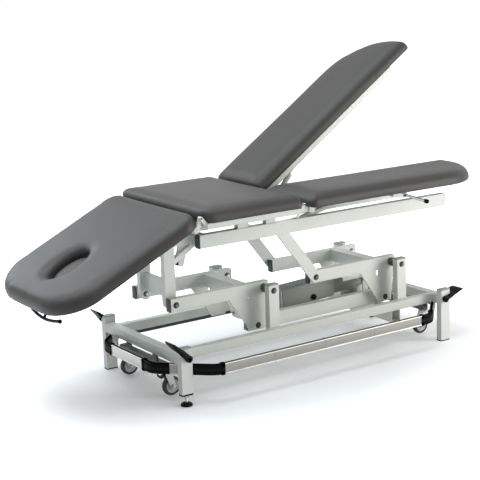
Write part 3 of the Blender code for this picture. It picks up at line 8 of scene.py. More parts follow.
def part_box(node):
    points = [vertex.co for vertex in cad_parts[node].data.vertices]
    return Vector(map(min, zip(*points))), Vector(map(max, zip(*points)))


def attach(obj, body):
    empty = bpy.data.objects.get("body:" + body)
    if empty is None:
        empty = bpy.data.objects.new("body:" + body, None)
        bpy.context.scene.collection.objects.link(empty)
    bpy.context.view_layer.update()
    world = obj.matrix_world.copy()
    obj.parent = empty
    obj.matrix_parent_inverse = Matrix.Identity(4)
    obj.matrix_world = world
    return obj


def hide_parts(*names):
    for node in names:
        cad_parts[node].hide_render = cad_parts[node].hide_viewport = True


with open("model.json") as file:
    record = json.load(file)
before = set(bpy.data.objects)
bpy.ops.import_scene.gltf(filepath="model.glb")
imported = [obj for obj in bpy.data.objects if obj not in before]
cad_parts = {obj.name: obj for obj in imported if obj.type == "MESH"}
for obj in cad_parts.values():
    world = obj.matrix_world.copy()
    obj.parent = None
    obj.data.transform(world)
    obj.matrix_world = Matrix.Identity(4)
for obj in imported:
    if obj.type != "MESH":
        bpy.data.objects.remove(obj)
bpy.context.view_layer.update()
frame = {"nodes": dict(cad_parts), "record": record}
scene = bpy.context.scene
nodes = frame["nodes"]
jointList = frame["record"]["behaviour"]["joints"]
jointAt = {j["name"]: Vector(j["pos_m"]) for j in jointList}
jointAxis = {j["name"]: Vector(j["axis"]) for j in jointList}
xAxis, yAxis, zAxis = Vector((1, 0, 0)), Vector((0, 1, 0)), Vector((0, 0, 1))
twoEnds = ((-1, "head"), (1, "foot"))
twoSides = ((-1, "near"), (1, "far"))
print("frame loaded:", len(nodes), "pieces")


def addNode(tree, kind, **settings):
    node = tree.nodes.new(kind)
    for key, value in settings.items():
        setattr(node, key, value)
    return node


def feed(tree, socket, value):  # another socket is linked, a plain value is set
    if isinstance(value, bpy.types.NodeSocket):
        tree.links.new(value, socket)
    else:
        socket.default_value = value


def mathNode(tree, operation, *values):
    node = addNode(tree, "ShaderNodeMath", operation=operation)
    for socket, value in zip(node.inputs, values):
        feed(tree, socket, value)
    return node.outputs[0]


def noiseNode(tree, place, scale, detail=2.0):
    node = addNode(tree, "ShaderNodeTexNoise")
    tree.links.new(place, node.inputs["Vector"])
    feed(tree, node.inputs["Scale"], scale)
    node.inputs["Detail"].default_value = detail
    return node.outputs["Fac"]


def shaderGroup(name, sizeName, sizeKind):  # relief for the bump, patches for gloss
    group = bpy.data.node_groups.new(name, "ShaderNodeTree")
    for label, kind in (("Vector", "NodeSocketVector"), (sizeName, sizeKind)):
        group.interface.new_socket(name=label, in_out="INPUT", socket_type=kind)
    for label in ("Height", "Patch"):
        group.interface.new_socket(name=label, in_out="OUTPUT", socket_type="NodeSocketFloat")
    return group, group.nodes.new("NodeGroupInput").outputs, group.nodes.new("NodeGroupOutput").inputs


grainLook = {"fineScale": 2.2, "fineShare": 0.4, "patchScale": 5.0, "patchDetail": 3.0}
peelLook = {"patchScale": 9.0, "patchDetail": 4.0}
brushLook = {"scale": 1.0, "detail": 3.0}


def makeGrain():  # pebbled upholstery skin: cells plus a finer roughness
    group, came, went = shaderGroup("vinylGrain", "Scale", "NodeSocketFloat")
    cells = addNode(group, "ShaderNodeTexVoronoi", feature="F1")
    for label in ("Vector", "Scale"):
        group.links.new(came[label], cells.inputs[label])
    fineScale = mathNode(group, "MULTIPLY", came["Scale"], grainLook["fineScale"])
    fine = mathNode(group, "MULTIPLY", noiseNode(group, came["Vector"], fineScale), grainLook["fineShare"])
    patch = noiseNode(group, came["Vector"], grainLook["patchScale"], grainLook["patchDetail"])
    group.links.new(mathNode(group, "ADD", cells.outputs["Distance"], fine), went["Height"])
    group.links.new(patch, went["Patch"])
    return group


def makePeel():  # the fine orange peel of sprayed paint and moulded plastic
    group, came, went = shaderGroup("surfacePeel", "Scale", "NodeSocketFloat")
    patch = noiseNode(group, came["Vector"], peelLook["patchScale"], peelLook["patchDetail"])
    group.links.new(noiseNode(group, came["Vector"], came["Scale"]), went["Height"])
    group.links.new(patch, went["Patch"])
    return group


def makeBrush():  # long fine scratches along one direction
    group, came, went = shaderGroup("brushedStreaks", "Stretch", "NodeSocketVector")
    drawn = addNode(group, "ShaderNodeVectorMath", operation="MULTIPLY")
    group.links.new(came["Vector"], drawn.inputs[0])
    group.links.new(came["Stretch"], drawn.inputs[1])
    streak = noiseNode(group, drawn.outputs[0], brushLook["scale"], brushLook["detail"])
    for label in ("Height", "Patch"):
        group.links.new(streak, went[label])
    return group


vinylGrain, surfacePeel, brushedStreaks = makeGrain(), makePeel(), makeBrush()
plainLook = {"metallic": 0.0, "ior": 1.45, "gloss": 0.5}  # where a finish says nothing else


def makeMaterial(name, effect, look):
    look = dict(plainLook, **look)
    material = bpy.data.materials.new(name)
    material.use_nodes = True
    tree = material.node_tree
    shader = tree.nodes["Principled BSDF"]
    for label, key in (("Metallic", "metallic"), ("IOR", "ior"), ("Specular IOR Level", "gloss")):
        shader.inputs[label].default_value = look[key]
    surface = addNode(tree, "ShaderNodeGroup", node_tree=effect)
    tree.links.new(addNode(tree, "ShaderNodeTexCoord").outputs["Object"], surface.inputs["Vector"])
    surface.inputs[1].default_value = look["grain"]  # the effect's Scale or Stretch
    patch = surface.outputs["Patch"]
    blend = addNode(tree, "ShaderNodeMix", data_type="RGBA")
    sockets = {s.identifier: s for s in [*blend.inputs, *blend.outputs]}
    feed(tree, sockets["Factor_Float"], patch)
    feed(tree, sockets["A_Color"], (*look["colour"], 1))
    feed(tree, sockets["B_Color"], (*look["shade"], 1))
    tree.links.new(sockets["Result_Color"], shader.inputs["Base Color"])
    rough = mathNode(tree, "MULTIPLY_ADD", patch, look["roughSpread"], look["rough"])
    tree.links.new(rough, shader.inputs["Roughness"])
    bump = addNode(tree, "ShaderNodeBump")
    bump.inputs["Strength"].default_value = look["bump"]
    bump.inputs["Distance"].default_value = look["depth"]
    tree.links.new(surface.outputs["Height"], bump.inputs["Height"])
    if "softEdge" in look:
        soft = addNode(tree, "ShaderNodeBevel", samples=4)
        soft.inputs["Radius"].default_value = look["softEdge"]
        tree.links.new(soft.outputs["Normal"], bump.inputs["Normal"])
    tree.links.new(bump.outputs["Normal"], shader.inputs["Normal"])
    return material


powder = makeMaterial("powderCoat", surfacePeel, {
    "colour": (0.73, 0.755, 0.705), "shade": (0.69, 0.715, 0.67), "rough": 0.28, "roughSpread": 0.10,
    "grain": 900.0, "bump": 0.12, "depth": 0.0003, "softEdge": 0.002,
})
vinyl = makeMaterial("charcoalVinyl", vinylGrain, {
    "colour": (0.0415, 0.039, 0.0365), "shade": (0.053, 0.050, 0.0468), "rough": 0.38, "roughSpread": 0.12,
    "grain": 620.0, "bump": 0.14, "depth": 0.0004, "gloss": 0.28,
})
black = makeMaterial("blackMoulding", surfacePeel, {
    "colour": (0.003, 0.003, 0.003), "shade": (0.006, 0.006, 0.006), "rough": 0.36, "roughSpread": 0.15,
    "grain": 1400.0, "bump": 0.15, "depth": 0.0003, "softEdge": 0.0015, "gloss": 0.10,
})
darkGrey = makeMaterial("darkEndCap", surfacePeel, {
    "colour": (0.045, 0.049, 0.050), "shade": (0.065, 0.069, 0.070), "rough": 0.42, "roughSpread": 0.12,
    "grain": 1300.0, "bump": 0.15, "depth": 0.0003, "softEdge": 0.001, "gloss": 0.3,
})
grey = makeMaterial("greyCase", surfacePeel, {
    "colour": (0.265, 0.28, 0.252), "shade": (0.23, 0.245, 0.22), "rough": 0.4, "roughSpread": 0.12,
    "grain": 1200.0, "bump": 0.12, "depth": 0.0003, "softEdge": 0.0015,
})
paleHub = makeMaterial("paleHub", surfacePeel, {
    "colour": (0.55, 0.58, 0.59), "shade": (0.48, 0.51, 0.52), "rough": 0.35, "roughSpread": 0.12,
    "grain": 1000.0, "bump": 0.1, "depth": 0.0003,
})
lidGrey = makeMaterial("postLid", surfacePeel, {
    "colour": (0.40, 0.42, 0.41), "shade": (0.34, 0.36, 0.35), "rough": 0.38, "roughSpread": 0.12,
    "grain": 1100.0, "bump": 0.12, "depth": 0.0003, "softEdge": 0.001,
})
tyre = makeMaterial("castorTyre", vinylGrain, {
    "colour": (0.025, 0.026, 0.028), "shade": (0.045, 0.046, 0.047), "rough": 0.55, "roughSpread": 0.15,
    "grain": 900.0, "bump": 0.2, "depth": 0.0004,
})
aluminium = makeMaterial("brushedBar", brushedStreaks, {
    "colour": (0.52, 0.52, 0.50), "shade": (0.40, 0.40, 0.38), "rough": 0.30, "roughSpread": 0.14,
    "grain": (6.0, 700.0, 700.0), "bump": 0.05, "depth": 0.0002, "metallic": 1.0, "softEdge": 0.001,
})
# darker, browner copy of the brushed bar finish for the bars' recessed faces: painted shade and painted floor
# reflection
barFacePaintedShade = makeMaterial("brushedBarFacePaintedShade", brushedStreaks, {
    "colour": (0.31, 0.30, 0.275), "shade": (0.24, 0.232, 0.212), "rough": 0.42, "roughSpread": 0.14,
    "grain": (6.0, 700.0, 700.0), "bump": 0.05, "depth": 0.0002, "metallic": 0.6,
})
zinc = makeMaterial("zincPlate", surfacePeel, {
    "colour": (0.50, 0.52, 0.53), "shade": (0.40, 0.41, 0.42), "rough": 0.30, "roughSpread": 0.14,
    "grain": 260.0, "bump": 0.06, "depth": 0.0002, "metallic": 1.0, "softEdge": 0.0012,
})
boltSteel = makeMaterial("boltSteel", surfacePeel, {
    "colour": (0.15, 0.145, 0.135), "shade": (0.10, 0.097, 0.09), "rough": 0.30, "roughSpread": 0.14,
    "grain": 500.0, "bump": 0.08, "depth": 0.0002, "metallic": 0.75, "softEdge": 0.001,
})
carrierSteel = makeMaterial("carrierSteel", surfacePeel, {
    "colour": (0.12, 0.125, 0.125), "shade": (0.09, 0.095, 0.095), "rough": 0.38, "roughSpread": 0.14,
    "grain": 300.0, "bump": 0.06, "depth": 0.0002, "metallic": 0.7, "softEdge": 0.0012,
})
finishOf = {
    "powder": powder, "vinyl": vinyl, "plug_vinyl": vinyl, "black": black, "grey": grey,
    "tyre": tyre, "aluminium": aluminium, "zinc": zinc,
}
ownFinish = {  # struts painted like the frame, and the dull steel of the castor carriers
    "leg_stay_body_near": powder, "leg_stay_body_far": powder,
    "castor_carrier_head": carrierSteel, "castor_carrier_foot": carrierSteel,
}
for part in frame["record"]["subparts"]:
    mesh = nodes[part["node"]].data
    mesh.materials.clear()
    mesh.materials.append(ownFinish.get(part["node"], finishOf[part["material_slot"]]))
print("finishes made:", len(bpy.data.materials))


def addRings(bm, rings, endless=False):
    loops = [[bm.verts.new(point) for point in ring] for ring in rings]
    pairs = list(zip(loops, loops[1:]))
    if endless:
        pairs.append((loops[-1], loops[0]))
    else:
        bm.faces.new(loops[0])
        bm.faces.new(loops[-1])
    for low, high in pairs:
        for i in range(len(low)):
            j = (i + 1) % len(low)
            bm.faces.new((low[i], low[j], high[j], high[i]))
    return bm


def roundedRing(centre, across, up, width, height, bend, perCorner=5):
    ring = []
    for number, (sx, sy) in enumerate(((1, 1), (-1, 1), (-1, -1), (1, -1))):
        x, y = sx * (width / 2 - bend), sy * (height / 2 - bend)
        for i in range(perCorner):
            t = radians(90 * number + 90 * i / (perCorner - 1))
            ring.append(centre + across * (x + bend * cos(t)) + up * (y + bend * sin(t)))
    return ring


def addSpun(bm, centre, axis, profile, hollow=False, steps=36):  # radii and heights turned on an axis
    side = axis.orthogonal().normalized()
    other = axis.cross(side)
    turns = [2 * pi * i / steps for i in range(steps)]
    rings = []
    for radius, along in profile:
        middle = centre + axis * along
        rings.append([middle + (side * cos(t) + other * sin(t)) * radius for t in turns])
    return addRings(bm, rings, hollow)


def sleeveProfile(bore, outer, start, stop):
    return (bore, start), (outer, start), (outer, stop), (bore, stop)


def headings(path):  # the way the path runs at each of its points
    last = len(path) - 1
    return [(path[min(i + 1, last)] - path[max(i - 1, 0)]).normalized() for i in range(len(path))]


def addTube(bm, path, radius, steps=16):
    rings = []
    side = (path[1] - path[0]).orthogonal().normalized()
    turns = [2 * pi * k / steps for k in range(steps)]
    for point, ahead in zip(path, headings(path)):
        side = (side - ahead * side.dot(ahead)).normalized()
        other = ahead.cross(side)
        rings.append([point + (side * cos(t) + other * sin(t)) * radius for t in turns])
    return addRings(bm, rings)


def smoothPath(points, perSpan=8):  # Catmull-Rom curve through the points
    held = [2 * points[0] - points[1]] + points + [2 * points[-1] - points[-2]]
    path = []
    for a, b, c, d in zip(held, held[1:], held[2:], held[3:]):
        for i in range(perSpan):
            t = i / perSpan
            bend = (2 * a - 5 * b + 4 * c - d) * t * t + (3 * b - a - 3 * c + d) * t ** 3
            path.append(0.5 * (2 * b + (c - a) * t + bend))
    return path + [points[-1]]


def addBlade(bm, stations):  # rounded bar of changing section
    return addRings(bm, [roundedRing(*station) for station in stations])


def meshObject(name, bm, material):
    bmesh.ops.recalc_face_normals(bm, faces=bm.faces)
    mesh = bpy.data.meshes.new(name)
    bm.to_mesh(mesh)
    bm.free()
    obj = bpy.data.objects.new(name, mesh)
    scene.collection.objects.link(obj)
    mesh.materials.append(material)
    mesh.shade_smooth()
    return obj


def crisp(obj, angle=35):  # smooth faces with sharp turns kept sharp
    obj.data.set_sharp_from_angle(angle=radians(angle))
    return obj


def turnMesh(obj, centre, angle):
    turn = Matrix.Translation(centre) @ Matrix.Rotation(radians(angle), 4, "Y") @ Matrix.Translation(-centre)
    obj.data.transform(turn)
    return obj


def settle(obj, body, slotName, *replaced):
    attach(obj, body)
    if replaced:
        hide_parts(*replaced)
    return obj


def dress(name, bm, material, body, slotName, *replaced, crease=None, turn=None):  # a whole piece
    obj = meshObject(name, bm, material)
    if turn:
        turnMesh(obj, *turn)
    if crease:
        crisp(obj, crease)
    return settle(obj, body, slotName, *replaced)


def bakeModifiers(obj):
    graph = bpy.context.evaluated_depsgraph_get()
    mesh = bpy.data.meshes.new_from_object(obj.evaluated_get(graph))
    obj.modifiers.clear()
    obj.data = mesh
    return obj


def geometryTree(name, numbers, finishes):
    tree = bpy.data.node_groups.new(name, "GeometryNodeTree")
    sockets = [("Geometry", "NodeSocketGeometry")]
    sockets += [(label, "NodeSocketFloat") for label in numbers]
    sockets += [(label, "NodeSocketMaterial") for label in finishes]
    for label, kind in sockets:
        tree.interface.new_socket(name=label, in_out="INPUT", socket_type=kind)
    tree.interface.new_socket(name="Geometry", in_out="OUTPUT", socket_type="NodeSocketGeometry")
    return tree, tree.nodes.new("NodeGroupInput").outputs, tree.nodes.new("NodeGroupOutput").inputs


def growPiece(name, tree, mesh, settings):
    obj = bpy.data.objects.new(name, mesh)
    scene.collection.objects.link(obj)
    modifier = obj.modifiers.new("grow", "NODES")
    modifier.node_group = tree
    for item in tree.interface.items_tree:
        if item.in_out == "INPUT" and item.name in settings:
            modifier[item.identifier] = settings[item.name]
    bakeModifiers(obj)
    obj.data.shade_smooth()
    return crisp(obj)


def pathMesh(name, paths):
    mesh = bpy.data.meshes.new(name)
    points, edges = [], []
    for path in paths:
        edges += [(len(points) + i, len(points) + i + 1) for i in range(len(path) - 1)]
        points += [tuple(p) for p in path]
    mesh.from_pydata(points, edges, [])
    return mesh


def pointMesh(name, places):  # points that each carry the way they face
    mesh = bpy.data.meshes.new(name)
    mesh.from_pydata([tuple(p) for p, _ in places], [], [])
    ways = mesh.attributes.new("way", "FLOAT_VECTOR", "POINT")
    for item, (_, way) in zip(ways.data, places):
        item.vector = way
    return mesh


def markFaces(tree, geometry, mark):  # gives every face a named mark
    store = addNode(tree, "GeometryNodeStoreNamedAttribute", data_type="BOOLEAN", domain="FACE")
    store.inputs["Name"].default_value = mark
    store.inputs["Value"].default_value = True
    tree.links.new(geometry, store.inputs["Geometry"])
    return store.outputs["Geometry"]


def copyOnPoints(tree, points, geometry):  # one copy on every point, turned the point's own way
    way = addNode(tree, "GeometryNodeInputNamedAttribute", data_type="FLOAT_VECTOR")
    way.inputs["Name"].default_value = "way"
    facing = addNode(tree, "FunctionNodeAlignRotationToVector", axis="Z")
    tree.links.new(way.outputs["Attribute"], facing.inputs["Vector"])
    copies = addNode(tree, "GeometryNodeInstanceOnPoints")
    tree.links.new(points, copies.inputs["Points"])
    tree.links.new(geometry, copies.inputs["Instance"])
    tree.links.new(facing.outputs["Rotation"], copies.inputs["Rotation"])
    return copies.outputs["Instances"]


def endTree(tree, went, geometry, finishes):  # everything real, then a finish for all and for each mark
    real = addNode(tree, "GeometryNodeRealizeInstances")
    tree.links.new(geometry, real.inputs["Geometry"])
    geometry = real.outputs["Geometry"]
    for finish, mark in finishes:
        painted = addNode(tree, "GeometryNodeSetMaterial")
        tree.links.new(geometry, painted.inputs["Geometry"])
        tree.links.new(finish, painted.inputs["Material"])
        if mark:
            chosen = addNode(tree, "GeometryNodeInputNamedAttribute", data_type="BOOLEAN")
            chosen.inputs["Name"].default_value = mark
            tree.links.new(chosen.outputs["Attribute"], painted.inputs["Selection"])
        geometry = painted.outputs["Geometry"]
    tree.links.new(geometry, went["Geometry"])
    return tree


def makeBarSweep():  # a rounded bar with two proud lips, swept along each path
    sizes = ("Width", "Height", "Round", "Lip", "Recess")
    tree, came, went = geometryTree("barSweep", sizes, ("Finish", "Face finish"))
    link = tree.links.new
    curve = addNode(tree, "GeometryNodeMeshToCurve")
    level = addNode(tree, "GeometryNodeSetCurveNormal", mode="Z_UP")
    link(came["Geometry"], curve.inputs["Mesh"])
    link(curve.outputs["Curve"], level.inputs["Curve"])
    joined = addNode(tree, "GeometryNodeJoinGeometry")
    narrow = mathNode(tree, "SUBTRACT", came["Width"], came["Recess"])
    offset = mathNode(tree, "SUBTRACT", came["Height"], came["Lip"])
    half = mathNode(tree, "MULTIPLY", offset, 0.5)
    down = mathNode(tree, "MULTIPLY", offset, -0.5)
    lip = (came["Width"], came["Lip"])
    bands = ((narrow, came["Height"], None), (*lip, half), (*lip, down))
    for width, height, shift in bands:
        outline = addNode(tree, "GeometryNodeCurvePrimitiveQuadrilateral")
        link(width, outline.inputs["Width"])
        link(height, outline.inputs["Height"])
        rounded = addNode(tree, "GeometryNodeFilletCurve", mode="POLY")
        rounded.inputs["Count"].default_value = 4
        rounded.inputs["Limit Radius"].default_value = True
        link(came["Round"], rounded.inputs["Radius"])
        link(outline.outputs["Curve"], rounded.inputs["Curve"])
        section = rounded.outputs["Curve"]
        if shift is not None:
            vector = addNode(tree, "ShaderNodeCombineXYZ")
            link(shift, vector.inputs["Y"])
            moved = addNode(tree, "GeometryNodeTransform")
            link(section, moved.inputs["Geometry"])
            link(vector.outputs[0], moved.inputs["Translation"])
            section = moved.outputs["Geometry"]
        swept = addNode(tree, "GeometryNodeCurveToMesh")
        swept.inputs["Fill Caps"].default_value = True
        link(level.outputs["Curve"], swept.inputs["Curve"])
        link(section, swept.inputs["Profile Curve"])
        band = swept.outputs["Mesh"] if shift is None else markFaces(tree, swept.outputs["Mesh"], "lip")
        link(band, joined.inputs["Geometry"])
    finishes = ((came["Face finish"], None), (came["Finish"], "lip"))
    return endTree(tree, went, joined.outputs["Geometry"], finishes)


boltShape = {  # shares of the radius, and steps round
    "ring": 0.78, "lip": 0.22, "foot": 0.66, "top": 0.50, "steps": 28, "lipSteps": 10,
}


def makeBoltHeads():  # a ring round a button on every point, facing the point's own way
    tree, came, went = geometryTree("boltHeads", ("Radius", "Depth"), ("Ring finish", "Button finish"))
    link = tree.links.new
    circles = []
    for share, steps in (("ring", "steps"), ("lip", "lipSteps")):
        circle = addNode(tree, "GeometryNodeCurvePrimitiveCircle")
        circle.inputs["Resolution"].default_value = boltShape[steps]
        link(mathNode(tree, "MULTIPLY", came["Radius"], boltShape[share]), circle.inputs["Radius"])
        circles.append(circle.outputs["Curve"])
    ring = addNode(tree, "GeometryNodeCurveToMesh")
    link(circles[0], ring.inputs["Curve"])
    link(circles[1], ring.inputs["Profile Curve"])
    button = addNode(tree, "GeometryNodeMeshCone")
    button.inputs["Vertices"].default_value = boltShape["steps"]
    for label, share in (("Radius Bottom", "foot"), ("Radius Top", "top")):
        link(mathNode(tree, "MULTIPLY", came["Radius"], boltShape[share]), button.inputs[label])
    link(came["Depth"], button.inputs["Depth"])
    head = addNode(tree, "GeometryNodeJoinGeometry")
    link(markFaces(tree, ring.outputs["Mesh"], "ring"), head.inputs["Geometry"])
    link(button.outputs["Mesh"], head.inputs["Geometry"])
    copies = copyOnPoints(tree, came["Geometry"], head.outputs["Geometry"])
    return endTree(tree, went, copies, ((came["Button finish"], None), (came["Ring finish"], "ring")))


def makeGripRibs():  # one round rib on every point, lying along the point's own way
    tree, came, went = geometryTree("gripRibs", ("Radius", "Length"), ("Finish",))
    rib = addNode(tree, "GeometryNodeMeshCylinder")
    rib.inputs["Vertices"].default_value = 12
    tree.links.new(came["Radius"], rib.inputs["Radius"])
    tree.links.new(came["Length"], rib.inputs["Depth"])
    copies = copyOnPoints(tree, came["Geometry"], rib.outputs["Mesh"])
    return endTree(tree, went, copies, ((came["Finish"], None),))


barSweep, boltHeads, gripRibs = makeBarSweep(), makeBoltHeads(), makeGripRibs()


def sweepPiece(name, paths, sizes, finish, faceFinish):
    settings = dict(sizes, **{"Finish": finish, "Face finish": faceFinish})
    return growPiece(name, barSweep, pathMesh(name, paths), settings)


def boltPiece(name, places, radius, depth, ringFinish, buttonFinish):
    return growPiece(name, boltHeads, pointMesh(name, places), {
        "Radius": radius, "Depth": depth, "Ring finish": ringFinish, "Button finish": buttonFinish})


print("node trees made")

padLook = {
    "half": 0.329, "thick": 0.055, "edge": 0.034, "lift": 0.011, "crown": 0.005, "crownRun": 3.2,
    "tuck": 0.007, "pull": 0.002, "leastCorner": 0.002, "shrink": 0.0015, "aboveHinge": 0.034, "fill": 0.85,
}
coverLook = {  # the cloth of all five pads
    "voxel": 0.006, "pressure": 3.0, "frames": 16, "cap": 0.0035, "hingeCap": 0.0012, "hingeBand": 0.030,
    "heldBand": 0.003, "relax": 12,
}
seatLook = {
    "long": 0.446, "tight": (0.45, 0.7), "corner": (0.046, 0.046), "crownAt": (0.044, 0.060, 0.082, 0.110),
}
legLook = {
    "from": 0.020, "to": 0.980, "above": 0.004, "split": 0.003, "tight": (0.7, 1.0), "corner": (0.020, 0.020),
    "outerTip": (0.250, 0.270), "innerTip": (0.030, 0.030), "crownAt": (0.044, 0.060, 0.082), "turn": -34.0,
}
headLook = {
    "long": 0.622, "half": 0.320, "gap": 0.0045, "corner": (0.140, 0.185), "hingeCorner": (0.075, 0.070),
    "bow": 0.017, "tight": (1.0, 0.45), "crownAt": (0.042, 0.056), "turn": -25.5, "faceFromHinge": 0.420,
    "faceX": 0.088, "faceY": 0.060, "roll": 0.030, "dip": 0.024, "holeFoot": ((0.0, 0.006), (0.004, 0.0)),
}
plugLook = {
    "sink": 0.031, "gap": 0.0020, "edge": 0.010, "foot": ((0.004, 0.001), (0.0, 0.005)),
    "crown": ((0.025, 0.003), (0.045, 0.004)),
}
strapRoomLook = {
    "seatRun": 0.030, "headRun": -0.026, "drop": 0.0348, "room": 0.0095, "from": 0.284, "to": 0.36,
}
hinge, legHinge = jointAt["head_tilt"], jointAt["leg_near_raise"]
seatBottom = hinge.z + padLook["aboveHinge"] - padLook["thick"]
faceMiddle = hinge.x - headLook["faceFromHinge"]
restTurn = {  # pieces made flat and then turned to the pose of the photograph
    "head_section": (hinge, headLook["turn"]), "face_plug": (hinge, headLook["turn"]),
    "leg_far": (legHinge, legLook["turn"]),
}


def padOutline(low, high, corners, inset, tight, bow, perCorner=16, perEdge=14):
    x0, x1 = low[0] + inset * tight[0], high[0] - inset * tight[1]
    y0, y1 = low[1] + inset, high[1] - inset
    spans = []
    for number, ((sx, sy), corner) in enumerate(zip(((-1, -1), (1, -1), (1, 1), (-1, 1)), corners)):
        a, b = [max(size - inset, padLook["leastCorner"]) for size in corner]
        centre = (x0 + a if sx < 0 else x1 - a, y0 + b if sy < 0 else y1 - b)
        start = pi + number * pi / 2
        angles = [start + pi / 2 * i / (perCorner - 1) for i in range(perCorner)]
        spans.append([Vector((centre[0] + a * cos(t), centre[1] + b * sin(t))) for t in angles])
    ring = []
    for number, span in enumerate(spans):
        ring += span
        run = spans[(number + 1) % 4][0] - span[-1]
        inward = Vector((-run.y, run.x)).normalized() if run.length > 0.01 else Vector((0, 0))
        for i in range(1, perEdge + 1):
            part = i / (perEdge + 1)
            ring.append(span[-1] + run * part + inward * padLook["pull"] * sin(pi * part))
    middle, reach = (x0 + x1) / 2, (y1 - y0) / 2
    for point in ring:  # the free end bows outwards
        lead = max(0.0, (middle - point.x) / (middle - x0))
        point.x -= bow * lead * (1 - (point.y / reach) ** 2)
    return ring


def padRings(low, high, bottom, corners, crownAt, tight, bow=0.0):  # from the underside up to the crown
    edge, tall = padLook["edge"], padLook["thick"] - padLook["crown"]
    tuck, lift = padLook["tuck"], padLook["lift"]
    profile = [(tuck, 0.0), (tuck * 0.5, 0.001), (tuck * 0.15, lift * 0.5)]
    for step in range(10):
        angle = radians(10 * step)
        profile.append((edge * (1 - cos(angle)), lift + (tall - lift) * sin(angle)))
    for inset in crownAt:
        rise = min(1.0, (inset - edge) / (padLook["crownRun"] * edge))
        profile.append((inset, tall + padLook["crown"] * sin(rise * pi / 2)))
    rings = []
    for inset, z in profile:
        outline = padOutline(low, high, corners, inset + padLook["shrink"], tight, bow)
        rings.append([(p.x, p.y, bottom + z) for p in outline])
    return rings


def faceRing(extra, z, angles):
    a, b = headLook["faceX"] + extra, headLook["faceY"] + extra
    reach = [1 / hypot(cos(t) / a, sin(t) / b) for t in angles]
    return [(faceMiddle + d * cos(t), d * sin(t), z) for d, t in zip(reach, angles)]


def headPadMesh():
    low = (hinge.x - headLook["long"], -headLook["half"])
    high = (hinge.x - headLook["gap"], headLook["half"])
    corner, small = headLook["corner"], headLook["hingeCorner"]
    corners = (corner, small, small, corner)
    rings = padRings(low, high, seatBottom, corners, headLook["crownAt"], headLook["tight"], headLook["bow"])
    angles = [atan2(y, x - faceMiddle) for x, y, _ in rings[-1]]
    top = seatBottom + padLook["thick"]
    for step in range(7):
        angle = radians(15 * step)
        sunk = top - headLook["dip"] * (1 - cos(angle))
        rings.append(faceRing(headLook["roll"] * (1 - sin(angle)), sunk, angles))
    for flare, up in headLook["holeFoot"]:
        rings.append(faceRing(flare, seatBottom + up, angles))
    return addRings(bmesh.new(), rings, True), angles


def plugMesh(angles):
    top, gap, edge = seatBottom + padLook["thick"] - plugLook["sink"], -plugLook["gap"], plugLook["edge"]
    steps = [(gap - inset, seatBottom + up) for inset, up in plugLook["foot"]]
    for degrees in (0, 30, 60, 90):
        t = radians(degrees)
        steps.append((gap - edge * (1 - cos(t)), top - edge * (1 - sin(t))))
    steps += [(gap - inset, top + up) for inset, up in plugLook["crown"]]
    return addRings(bmesh.new(), [faceRing(extra, z, angles) for extra, z in steps])


def cutStrapRoom(pad, run):  # the room at both sides of a pad for its hinge straps
    bm = bmesh.new()
    root = Vector((hinge.x + run, 0, hinge.z - strapRoomLook["drop"]))
    slope = (root - hinge).normalized()
    across = Vector((-slope.z, 0, slope.x))
    ring = []
    for centre, start in ((hinge, 90), (root, 270)):
        for i in range(13):
            t = radians(start + 15 * i)
            ring.append(centre + (slope * cos(t) + across * sin(t)) * strapRoomLook["room"])
    for side in (-1, 1):
        reach = [side * strapRoomLook["from"], side * strapRoomLook["to"]]
        addRings(bm, [[Vector((p.x, y, p.z)) for p in ring] for y in reach])
    cutter = meshObject("strapRoom", bm, vinyl)
    cut = pad.modifiers.new("strap", "BOOLEAN")
    cut.operation = "DIFFERENCE"
    cut.solver = "EXACT"
    cut.object = cutter
    bakeModifiers(pad)
    bpy.data.objects.remove(cutter)
    return pad


def skinPad(pad, bottom):  # even quads all over, with the underside marked as held
    skin = pad.modifiers.new("skin", "REMESH")
    skin.mode = "VOXEL"
    skin.voxel_size = coverLook["voxel"]
    bakeModifiers(pad)
    held = pad.vertex_groups.new(name="held")
    under = [v.index for v in pad.data.vertices if v.co.z < bottom + coverLook["heldBand"]]
    held.add(under, 1.0, "REPLACE")


def relaxPad(pad, bottom):
    bm = bmesh.new()
    bm.from_mesh(pad.data)
    loose = [v for v in bm.verts if v.co.z > bottom + coverLook["heldBand"]]
    for _ in range(coverLook["relax"]):
        bmesh.ops.smooth_vert(bm, verts=loose, factor=0.5, use_axis_x=True, use_axis_y=True, use_axis_z=True)
    bm.to_mesh(pad.data)
    bm.free()


def swellPads(pads):  # the foam pushes the cover out, and the underside stays on its board
    starts = []
    for pad, _ in pads:
        starts.append([v.co.copy() for v in pad.data.vertices])
        cloth = pad.modifiers.new("swell", "CLOTH")
        cloth.settings.use_pressure = True
        cloth.settings.uniform_pressure_force = coverLook["pressure"]
        cloth.settings.vertex_group_mass = "held"
        cloth.settings.effector_weights.gravity = 0.0
        cloth.collision_settings.use_collision = False
        cloth.point_cache.frame_start = 1
        cloth.point_cache.frame_end = coverLook["frames"]
    for number in range(1, coverLook["frames"] + 1):
        scene.frame_set(number)
    for (pad, hingeAt), start in zip(pads, starts):
        bakeModifiers(pad)
        for vertex, place in zip(pad.data.vertices, start):
            step = vertex.co - place
            near = abs(place.x - hingeAt) < coverLook["hingeBand"]
            most = coverLook["hingeCap"] if near else coverLook["cap"]
            if step.length > most:
                vertex.co = place + step.normalized() * most
    scene.frame_set(1)


